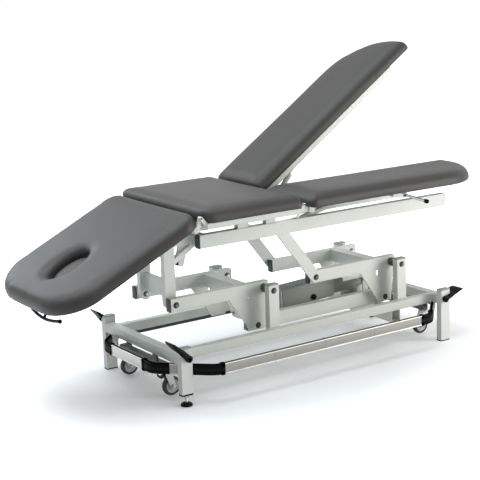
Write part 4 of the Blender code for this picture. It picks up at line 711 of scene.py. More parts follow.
def makePads():
    made = []
    small, leg = seatLook["corner"], legLook["corner"]
    seatFrom = hinge.x + headLook["gap"]
    low, high = (seatFrom, -padLook["half"]), (seatFrom + seatLook["long"], padLook["half"])
    rings = padRings(low, high, seatBottom, (small, leg, leg, small), seatLook["crownAt"], seatLook["tight"])
    seat = meshObject("seatCushion", addRings(bmesh.new(), rings), vinyl)
    cutStrapRoom(seat, strapRoomLook["seatRun"])
    made.append((seat, seatBottom, hinge.x, "upper_frame", "vinyl", "seat_pad"))

    headMesh, angles = headPadMesh()
    head = meshObject("headCushion", headMesh, vinyl)
    cutStrapRoom(head, strapRoomLook["headRun"])
    made.append((head, seatBottom, hinge.x, "head_section", "vinyl", "head_pad"))
    plug = meshObject("faceHolePlug", plugMesh(angles), vinyl)
    made.append((plug, seatBottom, hinge.x, "face_plug", "plug_vinyl", "face_plug"))

    outer, inner = legLook["outerTip"], legLook["innerTip"]
    legBottom = legHinge.z + legLook["above"]
    for side, name in twoSides:
        y0, y1 = sorted((side * legLook["split"], side * padLook["half"]))
        tips = (outer, inner) if side < 0 else (inner, outer)
        low, high = (legHinge.x + legLook["from"], y0), (legHinge.x + legLook["to"], y1)
        rings = padRings(low, high, legBottom, (leg, *tips, leg), legLook["crownAt"], legLook["tight"])
        pad = meshObject("legCushion_" + name, addRings(bmesh.new(), rings), vinyl)
        made.append((pad, legBottom, legHinge.x, "leg_" + name, "vinyl", "leg_pad_" + name))
    return made


pads = makePads()
for pad, bottom, *_ in pads:
    skinPad(pad, bottom)
swellPads([(pad, hingeAt) for pad, _, hingeAt, *_ in pads])
for pad, bottom, _, body, slotName, node in pads:
    relaxPad(pad, bottom)
    if body in restTurn:
        turnMesh(pad, *restTurn[body])
    pad.data.shade_smooth()
    pad.vertex_groups.clear()
    fine = pad.modifiers.new("fine", "SUBSURF")
    fine.levels = 1
    fine.render_levels = 1
    settle(pad, body, slotName, node)
print("pads made:", len(pads))

ringLook = {
    "wide": 0.018, "tall": 0.042, "round": 0.0028, "lip": 0.0055, "recess": 0.0030, "bend": 0.062,
    "elbowRound": 0.005, "overlap": 0.001, "seams": (-0.2813, -0.0433, 0.2027), "seam": 0.0014,
    "collarBack": 0.002, "collar": 0.010, "collarProud": 0.003,
    "clip": 0.002, "clipWide": 0.0016, "clipTall": 0.0030,
    "head": {"cut": 0.1735, "lead": 0.001, "tail": 0.064, "endLead": 0.033, "endTail": 0.042},
    "foot": {"cut": 0.2065, "lead": 0.027, "tail": 0.030, "endLead": 0.0, "endTail": 0.062},
}
ringMiddle = jointAt["switch_press"].x
nearLow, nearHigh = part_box("switch_bar_near")
footLow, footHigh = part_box("switch_bar_foot")
ringHalfY = -(nearLow[1] + nearHigh[1]) / 2
ringHalfX = (footLow[0] + footHigh[0]) / 2 - ringMiddle
ringZ = (nearLow[2] + nearHigh[2]) / 2
elbowTouch = ringLook["bend"] * tan(radians(22.5))  # from an elbow's corner point to where its bend starts


def ringElbow(apex, along, inward, lead, tail):  # one 45 degree elbow, from its bar to the diagonal
    bend = ringLook["bend"]
    centre = apex - along * elbowTouch + inward * bend
    path = [apex - along * (elbowTouch + lead + ringLook["overlap"])]
    for i in range(9):
        t = radians(45 * i / 8)
        path.append(centre + (along * sin(t) - inward * cos(t)) * bend)
    after = (along + inward).normalized()
    path.append(apex + after * (elbowTouch + tail))
    return path


def sideBars(start, stop):  # the same run on the near and the far side
    return [[(start, sy * ringHalfY, ringZ), (stop, sy * ringHalfY, ringZ)] for sy in (-1, 1)]


def makeSwitchRing():
    elbows, diagonals, collars, endBars, reach = [], [], [], [], []
    for sx, end in twoEnds:
        look = ringLook[end]
        reach.append(sx * (ringHalfX - look["cut"] - elbowTouch - look["lead"]))
        reachY = ringHalfY - look["cut"] - elbowTouch - look["endLead"]
        x = ringMiddle + sx * ringHalfX
        endBars.append([(x, -reachY, ringZ), (x, reachY, ringZ)])
        for sy in (-1, 1):
            sideApex = Vector((ringMiddle + sx * (ringHalfX - look["cut"]), sy * ringHalfY, ringZ))
            endApex = Vector((x, sy * (ringHalfY - look["cut"]), ringZ))
            toEnd, toSide = xAxis * sx, yAxis * sy
            pair = [ringElbow(sideApex, toEnd, -toSide, look["lead"], look["tail"]),
                    ringElbow(endApex, toSide, -toEnd, look["endLead"], look["endTail"])]
            elbows += pair
            diagonals.append([pair[0][-1], pair[1][-1]])
            back, ahead = ringLook["collarBack"], ringLook["collar"]
            for path, along in zip(pair, (toEnd, toSide)):
                collars.append([path[0] - along * back, path[0] + along * ahead])
    bars, clips = [], []
    gap, half = ringLook["seam"] / 2, ringLook["clip"]
    stops = [reach[0], *ringLook["seams"], reach[1]]
    for low, high in zip(stops, stops[1:]):
        bars += sideBars(ringMiddle + low + gap, ringMiddle + high - gap)
    for place in ringLook["seams"]:
        clips += sideBars(ringMiddle + place - half, ringMiddle + place + half)
    wide, tall, proud = ringLook["wide"], ringLook["tall"], ringLook["collarProud"]
    bar = {"Width": wide, "Height": tall, "Round": ringLook["round"], "Lip": ringLook["lip"],
           "Recess": ringLook["recess"]}
    plain = dict(bar, Lip=tall * 0.5, Recess=0.0, Round=ringLook["elbowRound"])
    collar = dict(plain, Width=wide + proud, Height=tall + 2 * proud)
    clip = dict(bar, Width=wide + ringLook["clipWide"], Height=tall + ringLook["clipTall"])
    corners = ["switch_corner_" + end + "_" + side for _, end in twoEnds for _, side in twoSides]
    # the side rails, diagonals and clips get the painted-shade face copy; the end rails keep plain aluminium
    # on their faces
    pieces = (
        ("switchRails", bars, bar, aluminium, barFacePaintedShade, "aluminium", ("switch_bar_near", "switch_bar_far")),
        ("switchEndRails", endBars, bar, aluminium, aluminium, "aluminium",
         ("switch_bar_head", "switch_bar_foot")),
        ("switchElbows", elbows, plain, black, black, "black", corners),
        ("switchDiagonals", diagonals, bar, aluminium, barFacePaintedShade, "aluminium", ()),
        ("switchCollars", collars, collar, black, black, "black", ()),
        ("railClips", clips, clip, aluminium, barFacePaintedShade, "aluminium", ()),
    )
    for name, paths, sizes, finish, faceFinish, slotName, replaced in pieces:
        settle(sweepPiece(name, paths, sizes, finish, faceFinish), "switch_ring", slotName, *replaced)


makeSwitchRing()
print("switch ring made")

castorLook = {
    "tyre": ((0.0262, -0.0085), (0.0285, -0.0110), (0.0330, -0.0110), (0.0362, -0.0085), (0.0374, -0.0035),
             (0.0374, 0.0035), (0.0362, 0.0085), (0.0330, 0.0110), (0.0285, 0.0110), (0.0262, 0.0085)),
    "hub": ((0.0056, -0.0104), (0.0095, -0.0104), (0.0105, -0.0082), (0.0195, -0.0070), (0.0215, -0.0096),
            (0.0261, -0.0096), (0.0261, 0.0096), (0.0215, 0.0096), (0.0195, 0.0070), (0.0105, 0.0082),
            (0.0095, 0.0104), (0.0056, 0.0104)),
    "steps": 48, "nut": 0.0075, "nutDeep": 0.004,
    "tabRun": ((0.008, 0.0905), (0.020, 0.0860), (0.027, 0.0800), (0.033, 0.0850), (0.039, 0.0950)),
    "tabWide": 0.020, "tabTip": 0.014, "tabThick": 0.0045, "tabRound": 0.0018,
}


def makeCastor(end, side, outward):
    look, name = castorLook, "_" + end + "_" + side
    axle, swivel = jointAt["wheel" + name], jointAt["swivel" + name]
    wheel, fork = "castor_wheel" + name, "castor_fork" + name
    band = addSpun(bmesh.new(), axle, yAxis, look["tyre"], True, look["steps"])
    dress("castorTyre" + name, band, tyre, wheel, "tyre", wheel)
    disc = addSpun(bmesh.new(), axle, yAxis, look["hub"], True, look["steps"])
    dress("castorHub" + name, disc, paleHub, wheel, "powder", crease=35)
    path = [Vector((swivel.x + outward * far, swivel.y, z)) for far, z in look["tabRun"]]
    widths = [look["tabWide"]] * (len(path) - 1) + [look["tabTip"]]
    stations = []
    for point, ahead, wide in zip(path, headings(path), widths):
        stations.append((point, yAxis, ahead.cross(yAxis), wide, look["tabThick"], look["tabRound"]))
    dress("brakeTab" + name, addBlade(bmesh.new(), stations), black, fork, "black", crease=50)
    low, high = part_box(fork)
    spots = [((axle.x, low[1], axle.z), -yAxis), ((axle.x, high[1], axle.z), yAxis)]
    settle(boltPiece("axleNuts" + name, spots, look["nut"], look["nutDeep"], zinc, zinc), fork, "zinc")


for outward, end in twoEnds:
    for _, side in twoSides:
        makeCastor(end, side, outward)
print("castors made")

pedalLook = {  # runs: distance from the shaft, width, thickness
    "outer": 0.3175, "hub": 0.0135, "hubLong": 0.0147, "hubEase": 0.0025, "round": 0.42,
    "head": {"tilt": 45, "way": -1, "runs": (
        (0.0, 0.0147, 0.023), (0.040, 0.0147, 0.022), (0.052, 0.020, 0.019),
        (0.060, 0.050, 0.015), (0.086, 0.060, 0.0095), (0.097, 0.056, 0.0050))},
    "foot": {"tilt": 19, "way": 1, "runs": (
        (0.0, 0.0147, 0.021), (0.030, 0.0147, 0.019), (0.044, 0.024, 0.015),
        (0.054, 0.062, 0.012), (0.084, 0.066, 0.008), (0.096, 0.062, 0.0050))},
    "ribs": 4, "ribRadius": 0.0014, "ribLong": 0.052, "ribInset": 0.033,
}


def makePedals(end):
    look, outer = pedalLook[end], pedalLook["outer"]
    hubAt, shaft = jointAt["pedal_" + end], "pedal_shaft_" + end
    tilt = radians(look["tilt"])
    ahead = Vector((look["way"] * cos(tilt), 0, sin(tilt)))
    up = Vector((-look["way"] * sin(tilt), 0, cos(tilt)))
    r, half, ease = pedalLook["hub"], pedalLook["hubLong"] / 2, pedalLook["hubEase"]
    hubProfile = ((r - ease, -half), (r, -half + ease), (r, half - ease), (r - ease, half))
    ribs = []
    for side, name in twoSides:
        stations = []
        for run, wide, thick in look["runs"]:
            place = hubAt + ahead * run + yAxis * (side * (outer - wide / 2))
            stations.append((place, yAxis, up, wide, thick, thick * pedalLook["round"]))
        bm = addBlade(bmesh.new(), stations)
        addSpun(bm, hubAt + yAxis * side * (outer - half), yAxis, hubProfile)
        pedal = "pedal_" + end + "_" + name
        dress("pedalLever_" + end + "_" + name, bm, black, shaft, "black", pedal, crease=50)
        first, last = look["runs"][-3], look["runs"][-2]
        for i in range(pedalLook["ribs"]):
            part = (i + 0.5) / pedalLook["ribs"]
            run = first[0] + (last[0] - first[0]) * part
            thick = first[2] + (last[2] - first[2]) * part
            y = side * (outer - pedalLook["ribInset"])
            ribs.append((hubAt + ahead * run + up * (thick / 2) + yAxis * y, yAxis))
    name = "pedalRibs_" + end
    grips = growPiece(name, gripRibs, pointMesh(name, ribs), {
        "Radius": pedalLook["ribRadius"], "Length": pedalLook["ribLong"], "Finish": black})
    settle(grips, shaft, "black")


for _, end in twoEnds:
    makePedals(end)
print("pedals made")

capLook = {
    "thick": 0.004, "thin": 0.0028, "bend": 0.004, "sink": 0.001, "ease": 0.0008, "top": 0.0022,
    "tipProud": 0.0006, "lidProud": 0.0012, "arm": (0.028, 0.050), "armMid": 0.129, "rail": (0.030, 0.051),
    "post": (0.0475, 0.0275), "upright": (0.0475, 0.028), "uprightMid": 0.1985,
    "stripAt": 0.0465, "stripTall": 0.006, "stripProud": 0.0008,
}
liftHead, liftFoot, upperTurn = jointAt["lift"], jointAt["lift_foot"], jointAt["upper_level"]
tieHead = jointAt["tie_level"]
rockerStep = liftFoot - liftHead
rockers = (("rocker_head", liftHead), ("rocker_foot", liftFoot))


def addCap(bm, centre, outward, across, size, thick, proud=0.0):
    centre, up = Vector(centre), outward.cross(across)
    ease, top = capLook["ease"], capLook["top"]
    rises = ((-capLook["sink"], 0.0), (thick * 0.65, 0.0), (thick * 0.9, ease), (thick, top))
    stations = []
    for rise, inset in rises:
        width, height = [length + 2 * (proud - inset) for length in size]
        stations.append((centre + outward * rise, across, up, width, height, capLook["bend"]))
    return addBlade(bm, stations)


def makeEndCaps():
    thick, thin, proud = capLook["thick"], capLook["thin"], capLook["tipProud"]
    for node, pivot in rockers:
        low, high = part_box(node)
        tips, backs = bmesh.new(), bmesh.new()
        for side in (-1, 1):
            mid = side * capLook["armMid"]
            addCap(tips, (low[0], mid, pivot.z), -xAxis, yAxis, capLook["arm"], thick, proud)
            addCap(backs, (high[0], mid, pivot.z), xAxis, yAxis, capLook["arm"], thin)
        dress("armTipCaps_" + node, tips, darkGrey, node, "grey")
        dress("armBackCaps_" + node, backs, powder, node, "powder")
    heads, feet = bmesh.new(), bmesh.new()
    railWide, railTall = capLook["rail"]
    for side, name in twoSides:
        low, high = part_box("upper_rail_" + name)
        mid = side * (abs(low[1] if side < 0 else high[1]) - railWide / 2)
        level = high[2] - railTall / 2
        addCap(heads, (low[0], mid, level), -xAxis, yAxis, capLook["rail"], thick, proud)
        addCap(feet, (high[0], mid, level), xAxis, yAxis, capLook["rail"], thin)
    dress("railHeadCaps", heads, darkGrey, "upper_frame", "grey")
    dress("railFootCaps", feet, lidGrey, "upper_frame", "grey")
    lids = bmesh.new()
    spots = []
    for _, end in twoEnds:
        low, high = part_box("end_frame_" + end)
        spots.append(((low[0] + high[0]) / 2, high[1] - capLook["post"][1] / 2, high[2], capLook["post"]))
    for _, pivot in rockers:
        spots.append((pivot.x, capLook["uprightMid"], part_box("side_frame_near")[1][2], capLook["upright"]))
    for x, mid, top, size in spots:
        for side in (-1, 1):
            addCap(lids, (x, side * mid, top), zAxis, xAxis, size, thick, capLook["lidProud"])
    dress("postLids", lids, lidGrey, "base", "grey")
    foot = jointAt["levelling"]
    strip = addCap(bmesh.new(), (foot.x, foot.y, capLook["stripAt"]), -zAxis, xAxis, capLook["post"],
                   capLook["stripTall"], capLook["stripProud"])
    dress("levelPostStrip", strip, black, "base", "black")


makeEndCaps()

darkStripLook = {"wide": 0.016, "tall": 0.017, "bend": 0.003, "trim": 0.040, "sink": 0.0005, "inset": 0.0140}


def makeFarRailDarkStrip():  # dark strip along the lower edge of the far side rail
    low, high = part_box("side_frame_far")
    level = low[2] - darkStripLook["tall"] / 2 + darkStripLook["sink"]
    stations = []
    for x in (low[0] + darkStripLook["trim"], high[0] - darkStripLook["trim"]):
        place = Vector((x, high[1] - darkStripLook["inset"], level))
        stations.append((place, yAxis, zAxis, darkStripLook["wide"], darkStripLook["tall"], darkStripLook["bend"]))
    dress("farRailDarkStrip", addBlade(bmesh.new(), stations), darkGrey, "base", "grey", crease=35)


makeFarRailDarkStrip()

boltLook = {  # faces: how far out from the middle each bolt sits
    "radius": 0.0122, "depth": 0.009, "pinRadius": 0.0115, "pinDepth": 0.012, "uprightFace": 0.2125,
    "armFace": 0.143, "linkFace": 0.153, "tieFace": 0.1422, "innerArm": 0.115, "innerDrop": 0.081,
}


def makeBolts():
    outside = {"base": [], "upper_frame": [], "rocker_foot": [], "tie_bar": []}
    inside = {"base": [], "upper_frame": []}
    for side in (-1, 1):
        way = yAxis * side
        for _, pivot in rockers:
            outside["base"].append((pivot + way * boltLook["uprightFace"], way))
            inside["base"].append((pivot + way * boltLook["innerArm"], -way))
        outside["upper_frame"].append((upperTurn + way * boltLook["armFace"], way))
        inside["upper_frame"].append((upperTurn + way * boltLook["innerDrop"], -way))
        outside["rocker_foot"].append((upperTurn + rockerStep + way * boltLook["linkFace"], way))
    for place in (tieHead, tieHead + rockerStep):
        outside["tie_bar"].append((place - yAxis * boltLook["tieFace"], -yAxis))
    kinds = (("pivotBolts_", outside, "radius", "depth", boltSteel, "black"),
             ("pinEnds_", inside, "pinRadius", "pinDepth", zinc, "zinc"))
    for label, bodies, radius, depth, button, slotName in kinds:
        for body, places in bodies.items():
            bolts = boltPiece(label + body, places, boltLook[radius], boltLook[depth], darkGrey, button)
            settle(bolts, body, slotName)


makeBolts()

collarLook = {"bore": 0.0161, "outer": 0.0180, "from": 0.146, "to": 0.1815, "ease": 0.001}


def makePivotCollars():  # dark rings round the hubs between the rocker arms and the uprights
    bore, outer, ease = collarLook["bore"], collarLook["outer"], collarLook["ease"]
    for node, pivot in rockers:
        bm = bmesh.new()
        for side in (-1, 1):
            start, stop = sorted((side * collarLook["from"], side * collarLook["to"]))
            profile = ((bore, start), (outer - ease, start), (outer, start + ease), (outer, stop - ease),
                       (outer - ease, stop), (bore, stop))
            addSpun(bm, pivot, yAxis, profile, True)
        dress("pivotCollars_" + node, bm, boltSteel, node, "grey", crease=35)


makePivotCollars()
print("caps and bolts made")

caseLook = {  # along the actuator from its eye, and up from its middle line
    "from": 0.180, "to": 0.460, "low": -0.020, "high": 0.068, "half": 0.036, "bend": 0.009, "plate": 0.010,
    "plateProud": 0.001, "overlap": 0.002, "neck": 0.019, "eye": 0.0135, "eyeBore": 0.0064, "eyeHalf": 0.0135,
    "blockFrom": 0.122, "blockLow": -0.012, "blockHigh": 0.046, "blockHalf": 0.026, "blockBend": 0.007,
    "neckSteps": ((0.55, 0.010), (0.8, 0.020), (1.0, 0.040)), "neckSink": 0.004,
    "edges": ((0.0, 0.005), (0.0015, 0.002), (0.005, 0.0)), "knobAt": 0.292, "knobUp": 0.002, "knob": 0.012,
    "knobSteps": ((1.0, -0.001), (1.0, 0.006), (0.85, 0.009), (0.4, 0.0098)),
}
rodWay = jointAxis["actuator_stroke"].normalized()
rodUp = Vector((rodWay.z, 0, -rodWay.x)).normalized()
actuatorEye = jointAt["actuator_turn"]


def casePoint(along, up, y=0.0):
    return actuatorEye + rodWay * along + rodUp * up + Vector((0, y, 0))


def addCase(bm, start, end, low, high, half, bend):
    edges = caseLook["edges"]
    runs = [(start + step, inset) for step, inset in edges]
    runs += [(end - step, inset) for step, inset in edges[::-1]]
    stations = []
    for along, inset in runs:
        size = 2 * inset
        place = casePoint(along, (high + low) / 2)
        stations.append((place, yAxis, rodUp, 2 * half - size, high - low - size, bend))
    return addBlade(bm, stations)


def makeActuator():
    look = caseLook
    low, high, half, bend = look["low"], look["high"], look["half"], look["bend"]
    plateFrom, over, proud = look["to"] - look["plate"], look["overlap"], look["plateProud"]
    bm = addCase(bmesh.new(), look["from"], plateFrom, low, high, half, bend)
    block = [look["block" + label] for label in ("Low", "High", "Half", "Bend")]
    addCase(bm, look["blockFrom"], look["from"] + over, *block)
    neck = [(look["neck"] * share, along) for share, along in look["neckSteps"]]
    neck.append((look["neck"], look["blockFrom"] + look["neckSink"]))
    addSpun(bm, actuatorEye, rodWay, neck)
    eye = sleeveProfile(look["eyeBore"], look["eye"], -look["eyeHalf"], look["eyeHalf"])
    addSpun(bm, actuatorEye, yAxis, eye, True)
    dress("actuatorCase", bm, grey, "actuator", "grey", "actuator_housing", crease=40)
    plate = addCase(bmesh.new(), plateFrom - over, look["to"], low - proud, high + proud, half + proud, bend)
    dress("actuatorEndPlate", plate, lidGrey, "actuator", "grey", crease=40)
    face = casePoint(look["knobAt"], look["knobUp"], -half)
    profile = [(look["knob"] * share, out) for share, out in look["knobSteps"]]
    dress("caseKnob", addSpun(bmesh.new(), face, -yAxis, profile), black, "actuator", "black")


makeActuator()

controlLook = {  # shares of the height, then lengths
    "seam": 0.36, "gap": 0.02, "ease": 0.05, "trim": 0.003, "inset": 0.0015, "bend": 0.007, "neckIn": 0.008,
    "neckBend": 0.005, "neckSpan": (-0.004, 0.006),
}


def makeControlBox():
    look = controlLook
    low, high = [Vector(corner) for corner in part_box("control_box")]
    middle, size = (low + high) / 2, high - low
    seam, ease, trim = look["seam"], look["ease"], look["trim"]
    bm = bmesh.new()
    for start, end, inset in ((0.0, seam, look["inset"]), (seam + look["gap"], 1.0, 0.0)):
        stations = []
        for part, less in ((start, trim), (start + ease, 0.0), (end - ease, 0.0), (end, trim)):
            place = Vector((middle.x, middle.y, low.z + size.z * part))
            cut = 2 * (inset + less)
            stations.append((place, xAxis, yAxis, size.x - cut, size.y - cut, look["bend"]))
        addBlade(bm, stations)
    cut, stations = look["neckIn"], []
    for step in look["neckSpan"]:
        place = Vector((middle.x, middle.y, low.z + size.z * seam + step))
        stations.append((place, xAxis, yAxis, size.x - cut, size.y - cut, look["neckBend"]))
    addBlade(bm, stations)
    dress("controlCase", bm, grey, "base", "grey", "control_box", crease=40)


makeControlBox()
print("actuator and control case made")

leverLook = {
    "rod": 0.0056,
    "bends": ((-0.004, 0.0, 0.0), (0.026, 0.0, -0.001), (0.060, 0.020, -0.014), (0.098, 0.046, -0.029)),
    "eyeBore": 0.0040, "eye": 0.0078, "eyeHalf": 0.003,
    "sleeve": 0.0072, "sleeveFrom": 0.006, "sleeveLong": 0.030,
    "knob": 0.0088, "knobLong": 0.020,
    "knobSteps": ((0.55, -0.55), (0.85, -0.45), (1.0, -0.15), (1.0, 0.2), (0.85, 0.4), (0.5, 0.5)),
}
bracketLook = {
    "long": 0.052, "wide": 0.030, "tall": 0.016, "cheek": 0.0065, "sheet": 0.0022, "bend": 0.0008,
    "up": 0.010, "steps": ((0.0, 0.004), (0.12, 0.0), (0.62, 0.0), (1.0, 0.005)),
}


def makeLever(name, side, pivot):
    look, lever, turn = leverLook, "leg_lever_" + name, restTurn.get("leg_" + name)
    path = smoothPath([pivot + Vector((x, side * y, z)) for x, y, z in look["bends"]])
    rod = addTube(bmesh.new(), path, look["rod"])
    eye = sleeveProfile(look["eyeBore"], look["eye"], -look["eyeHalf"], look["eyeHalf"])
    addSpun(rod, pivot, yAxis, eye, True)
    start, most = pivot.x + look["sleeveFrom"], look["sleeveLong"]
    inSleeve = [p for p in path if (p - pivot).length < most and p.x > start]
    grip = addTube(bmesh.new(), inSleeve, look["sleeve"])
    knob = [(look["knob"] * share, look["knobLong"] * along) for share, along in look["knobSteps"]]
    addSpun(grip, path[-1], (path[-1] - path[-2]).normalized(), knob)
    dress("legLeverRod_" + name, rod, zinc, lever, "zinc", lever, turn=turn)
    dress("legLeverKnob_" + name, grip, black, lever, "black", turn=turn)


def makeLeverBracket(name, pivot):  # folded plate that carries the lever under the leg frame
    look = bracketLook
    long, tall, sheet, bend = look["long"], look["tall"], look["sheet"], look["bend"]
    bm = bmesh.new()
    for off in (-look["cheek"], look["cheek"]):
        stations = []
        for part, trim in look["steps"]:
            place = pivot + Vector((long * (part - 0.5), off, look["up"] - trim / 2))
            stations.append((place, yAxis, zAxis, sheet, tall - trim, bend))
        addBlade(bm, stations)
    top = pivot + zAxis * (look["up"] + tall / 2)
    ends = [top + xAxis * (way * long / 2) for way in (-1, 1)]
    addBlade(bm, [(place, yAxis, zAxis, look["wide"], sheet, bend) for place in ends])
    dress("leverBracket_" + name, bm, carrierSteel, "leg_" + name, "zinc", crease=35,
          turn=restTurn.get("leg_" + name))


for side, name in twoSides:
    leverPivot = jointAt["lever_near"].copy()  # the far one is its mirror, turned up later
    leverPivot.y *= -side
    makeLever(name, side, leverPivot)
    makeLeverBracket(name, leverPivot)

handleLook = {
    "bar": 0.0058, "farEnd": 0.066, "nearEnd": -0.160, "stemAt": -0.044, "stemSink": 0.002, "stemShare": 0.9,
    "stemEnd": 0.96, "ball": 0.0082, "bow": 0.014, "gripIn": 0.010, "gripUp": 0.0085, "lower": 0.008,
    "shaft": 0.1347, "hub": 0.0082, "hubBore": 0.0042, "hubHalf": 0.009,
}


def makeHandle():
    look, axis = handleLook, jointAt["head_release"]
    low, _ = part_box("head_handle")
    drop = Vector((low[0] + look["gripIn"] - axis.x, 0, low[2] + look["gripUp"] - axis.z))
    out = drop.normalized()
    drop += out * look["lower"]
    grip = []
    for i in range(5):
        part = i / 4
        y = look["farEnd"] + (look["nearEnd"] - look["farEnd"]) * part
        sag = look["bow"] * (sin(pi * part) - 1)
        grip.append(axis + drop + out * sag + yAxis * y)
    bm = addTube(bmesh.new(), smoothPath(grip), look["bar"])
    top = axis + yAxis * look["stemAt"]
    stem = [top - out * look["stemSink"], top + drop * 0.5, top + drop * look["stemEnd"]]
    addTube(bm, smoothPath(stem), look["bar"] * look["stemShare"])
    shaft = yAxis * look["shaft"]  # turns in the two spines of the head frame
    addTube(bm, [axis - shaft, axis + shaft], look["bar"])
    hub = sleeveProfile(look["hubBore"], look["hub"], -look["hubHalf"], look["hubHalf"])
    addSpun(bm, top, yAxis, hub, True)
    r = look["ball"]
    addSpun(bm, grip[-1], yAxis, [(r * sin(radians(t)), -r * cos(radians(t))) for t in range(15, 180, 15)])
    dress("headBarHandle", bm, black, "head_handle", "black", "head_handle")


makeHandle()

levelLook = {
    "disc": ((0.0185, 0.0), (0.0225, 0.0015), (0.0228, 0.0050), (0.0205, 0.0095), (0.0150, 0.0130),
             (0.0085, 0.0150)),
    "core": 0.0052, "crest": 0.0060, "rodFrom": 0.013, "threadFrom": 0.016, "pitch": 0.0028, "threads": 24,
    "nutBore": 0.0062, "nut": 0.0098, "nutFrom": 0.032, "nutTo": 0.039,
}


def makeLevellingFoot():
    look, place = levelLook, jointAt["levelling"]
    disc = addSpun(bmesh.new(), place, zAxis, look["disc"])
    dress("levellingDisc", disc, black, "levelling_foot", "black", "levelling_foot")
    core, crest, quarter = look["core"], look["crest"], look["pitch"] / 4
    thread = [(core, look["rodFrom"])]
    for i in range(look["threads"]):
        z = look["threadFrom"] + look["pitch"] * i
        thread += [(r, z + quarter * step) for step, r in enumerate((core, crest, crest, core))]
    rod = addSpun(bmesh.new(), place, zAxis, thread, steps=24)
    dress("levellingRod", rod, zinc, "levelling_foot", "zinc")
    flats = sleeveProfile(look["nutBore"], look["nut"], look["nutFrom"], look["nutTo"])
    nut = addSpun(bmesh.new(), place, zAxis, flats, True, 6)
    dress("levellingNut", nut, zinc, "levelling_foot", "zinc", crease=35)


makeLevellingFoot()

strapLook = {
    "y": 0.3030, "run": ((-0.043, -0.025), (-0.030, -0.006), (-0.016, 0.011), (-0.009, 0.026)), "wide": 0.006,
    "thick": 0.0105, "bend": 0.0022, "pin": (-0.001, 0.003, -0.004), "headPinY": 0.3043, "pinRadius": 0.0052,
    "pinDepth": 0.003,
}


def makeLegHingeStraps():  # curved straps beside the gap between the seat and the leg pads
    look = strapLook
    bm = bmesh.new()
    pins = []
    run = smoothPath([legHinge + Vector((x, 0, z)) for x, z in look["run"]], 4)
    back, out, down = look["pin"]
    for side in (-1, 1):
        y, way = side * look["y"], yAxis * side
        stations = []
        for point, ahead in zip(run, headings(run)):
            place = Vector((point.x, y, point.z))
            stations.append((place, yAxis, ahead.cross(yAxis), look["wide"], look["thick"], look["bend"]))
        addBlade(bm, stations)
        pins.append((Vector((run[-1].x + back, y + side * out, run[-1].z + down)), way))
        pins.append((Vector((hinge.x, side * look["headPinY"], hinge.z)), way))
    dress("legHingeStraps", bm, powder, "upper_frame", "powder", crease=50)
    eyes = boltPiece("hingePinEnds", pins, look["pinRadius"], look["pinDepth"], zinc, black)
    settle(eyes, "upper_frame", "zinc")


makeLegHingeStraps()
print("levers, handle, levelling foot and straps made")

cameraLook = {
    "lens": 95.96, "sensor": 36.0, "place": (-2.9478 + jointAt["switch_press"].x, -4.1172, 1.5987),
    "right": (0.82569, -0.56316, -0.03308), "up": (0.14776, 0.15931, 0.97611),
    "ahead": (0.54444, 0.81085, -0.21475),
}
camera = bpy.data.objects.new("camera", bpy.data.cameras.new("camera"))
scene.collection.objects.link(camera)
camera.data.sensor_width = cameraLook["sensor"]
camera.data.lens = cameraLook["lens"]
columns = zip(cameraLook["right"], cameraLook["up"], cameraLook["ahead"], cameraLook["place"])
camera.matrix_world = Matrix([[r, u, -a, p] for r, u, a, p in columns] + [[0, 0, 0, 1]])
scene.camera = camera
scene.view_settings.view_transform = "Standard"

lamps = [
    {"name": "overhead", "place": (-0.6, 0.3, 3.1), "aim": (-0.1, 0.0, 0.5), "size": 3.2, "watts": 106,
     "colour": (0.88, 0.94, 1.0)},
    {"name": "front", "place": (3.1, -3.0, 1.3), "aim": (0.2, 0.0, 0.4), "size": 2.6, "watts": 118,
     "colour": (1.0, 0.975, 0.93)},
    {"name": "rear", "place": (-1.2, 3.4, 2.2), "aim": (-0.1, 0.0, 0.4), "size": 2.2, "watts": 42,
     "colour": (0.84, 0.92, 1.0)},
]
for look in lamps:
    lamp = bpy.data.lights.new(look["name"], "AREA")
    lamp.shape = "DISK"
    lamp.size = look["size"]
    lamp.energy = look["watts"]
    lamp.color = look["colour"]
    obj = bpy.data.objects.new(look["name"], lamp)
    obj.location = look["place"]
    obj.rotation_euler = (Vector(look["aim"]) - Vector(look["place"])).to_track_quat("-Z", "Y").to_euler()
    scene.collection.objects.link(obj)


def seenDirectly(tree):  # 1 for rays from the camera, in a mirror or through glass
    path = addNode(tree, "ShaderNodeLightPath")
    seen = mathNode(tree, "MAXIMUM", path.outputs["Is Camera Ray"], path.outputs["Is Glossy Ray"])
    return mathNode(tree, "MAXIMUM", seen, path.outputs["Is Transmission Ray"])


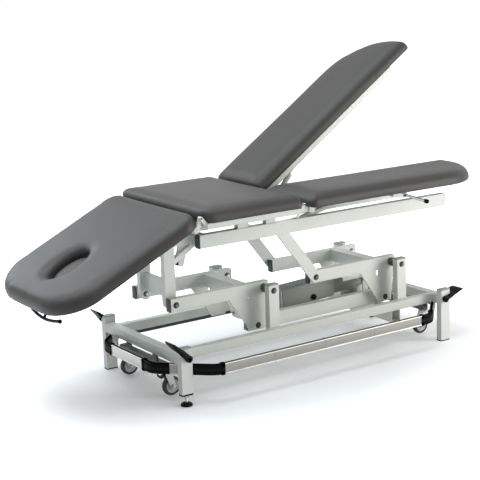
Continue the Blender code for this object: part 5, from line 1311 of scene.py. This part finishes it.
worldLook = {
    "sky": (0.94, 0.97, 1.0, 1), "skyStrength": 0.18, "seen": (1.0, 1.0, 1.0, 1), "seenStrength": 1.0,
}


def makeWorld():
    world = bpy.data.worlds.new("studio")
    scene.world = world
    world.use_nodes = True
    tree = world.node_tree
    sky, white = tree.nodes["Background"], addNode(tree, "ShaderNodeBackground")
    for node, key in ((sky, "sky"), (white, "seen")):
        node.inputs["Color"].default_value = worldLook[key]
        node.inputs["Strength"].default_value = worldLook[key + "Strength"]
    mix = addNode(tree, "ShaderNodeMixShader")
    for number, source in enumerate((seenDirectly(tree), sky.outputs[0], white.outputs[0])):
        tree.links.new(source, mix.inputs[number])
    tree.links.new(mix.outputs[0], tree.nodes["World Output"].inputs["Surface"])


# glow: painted light on the floor, from low near the couch to high far away
floorLook = {
    "colour": (0.88, 0.89, 0.89, 1), "rough": 0.6, "glow": (1, 1, 1, 1), "near": 0.55, "far": 1.8,
    "low": 0.15, "high": 1.0, "radius": 30, "segments": 64,
}


def makeFloor():  # pale floor with a painted glow seen by the camera and in mirrors: weak near the couch, where it lightens the floor and its shadows, and rising to white away from it
    material = bpy.data.materials.new("paleFloorPaintedGlow")
    material.use_nodes = True
    tree = material.node_tree
    shader = tree.nodes["Principled BSDF"]
    for label, key in (("Base Color", "colour"), ("Roughness", "rough"), ("Emission Color", "glow")):
        shader.inputs[label].default_value = floorLook[key]
    away = addNode(tree, "ShaderNodeVectorMath", operation="LENGTH")
    tree.links.new(addNode(tree, "ShaderNodeTexCoord").outputs["Object"], away.inputs[0])
    fade = addNode(tree, "ShaderNodeMapRange")
    tree.links.new(away.outputs["Value"], fade.inputs["Value"])
    for label, key in (("From Min", "near"), ("From Max", "far"), ("To Min", "low"), ("To Max", "high")):
        fade.inputs[label].default_value = floorLook[key]
    strength = mathNode(tree, "MULTIPLY", fade.outputs["Result"], seenDirectly(tree))
    tree.links.new(strength, shader.inputs["Emission Strength"])
    bm = bmesh.new()
    bmesh.ops.create_circle(bm, cap_ends=True, segments=floorLook["segments"], radius=floorLook["radius"])
    meshObject("floor", bm, material)


makeWorld()
makeFloor()
print("camera, light and floor made")

print("scene ready")
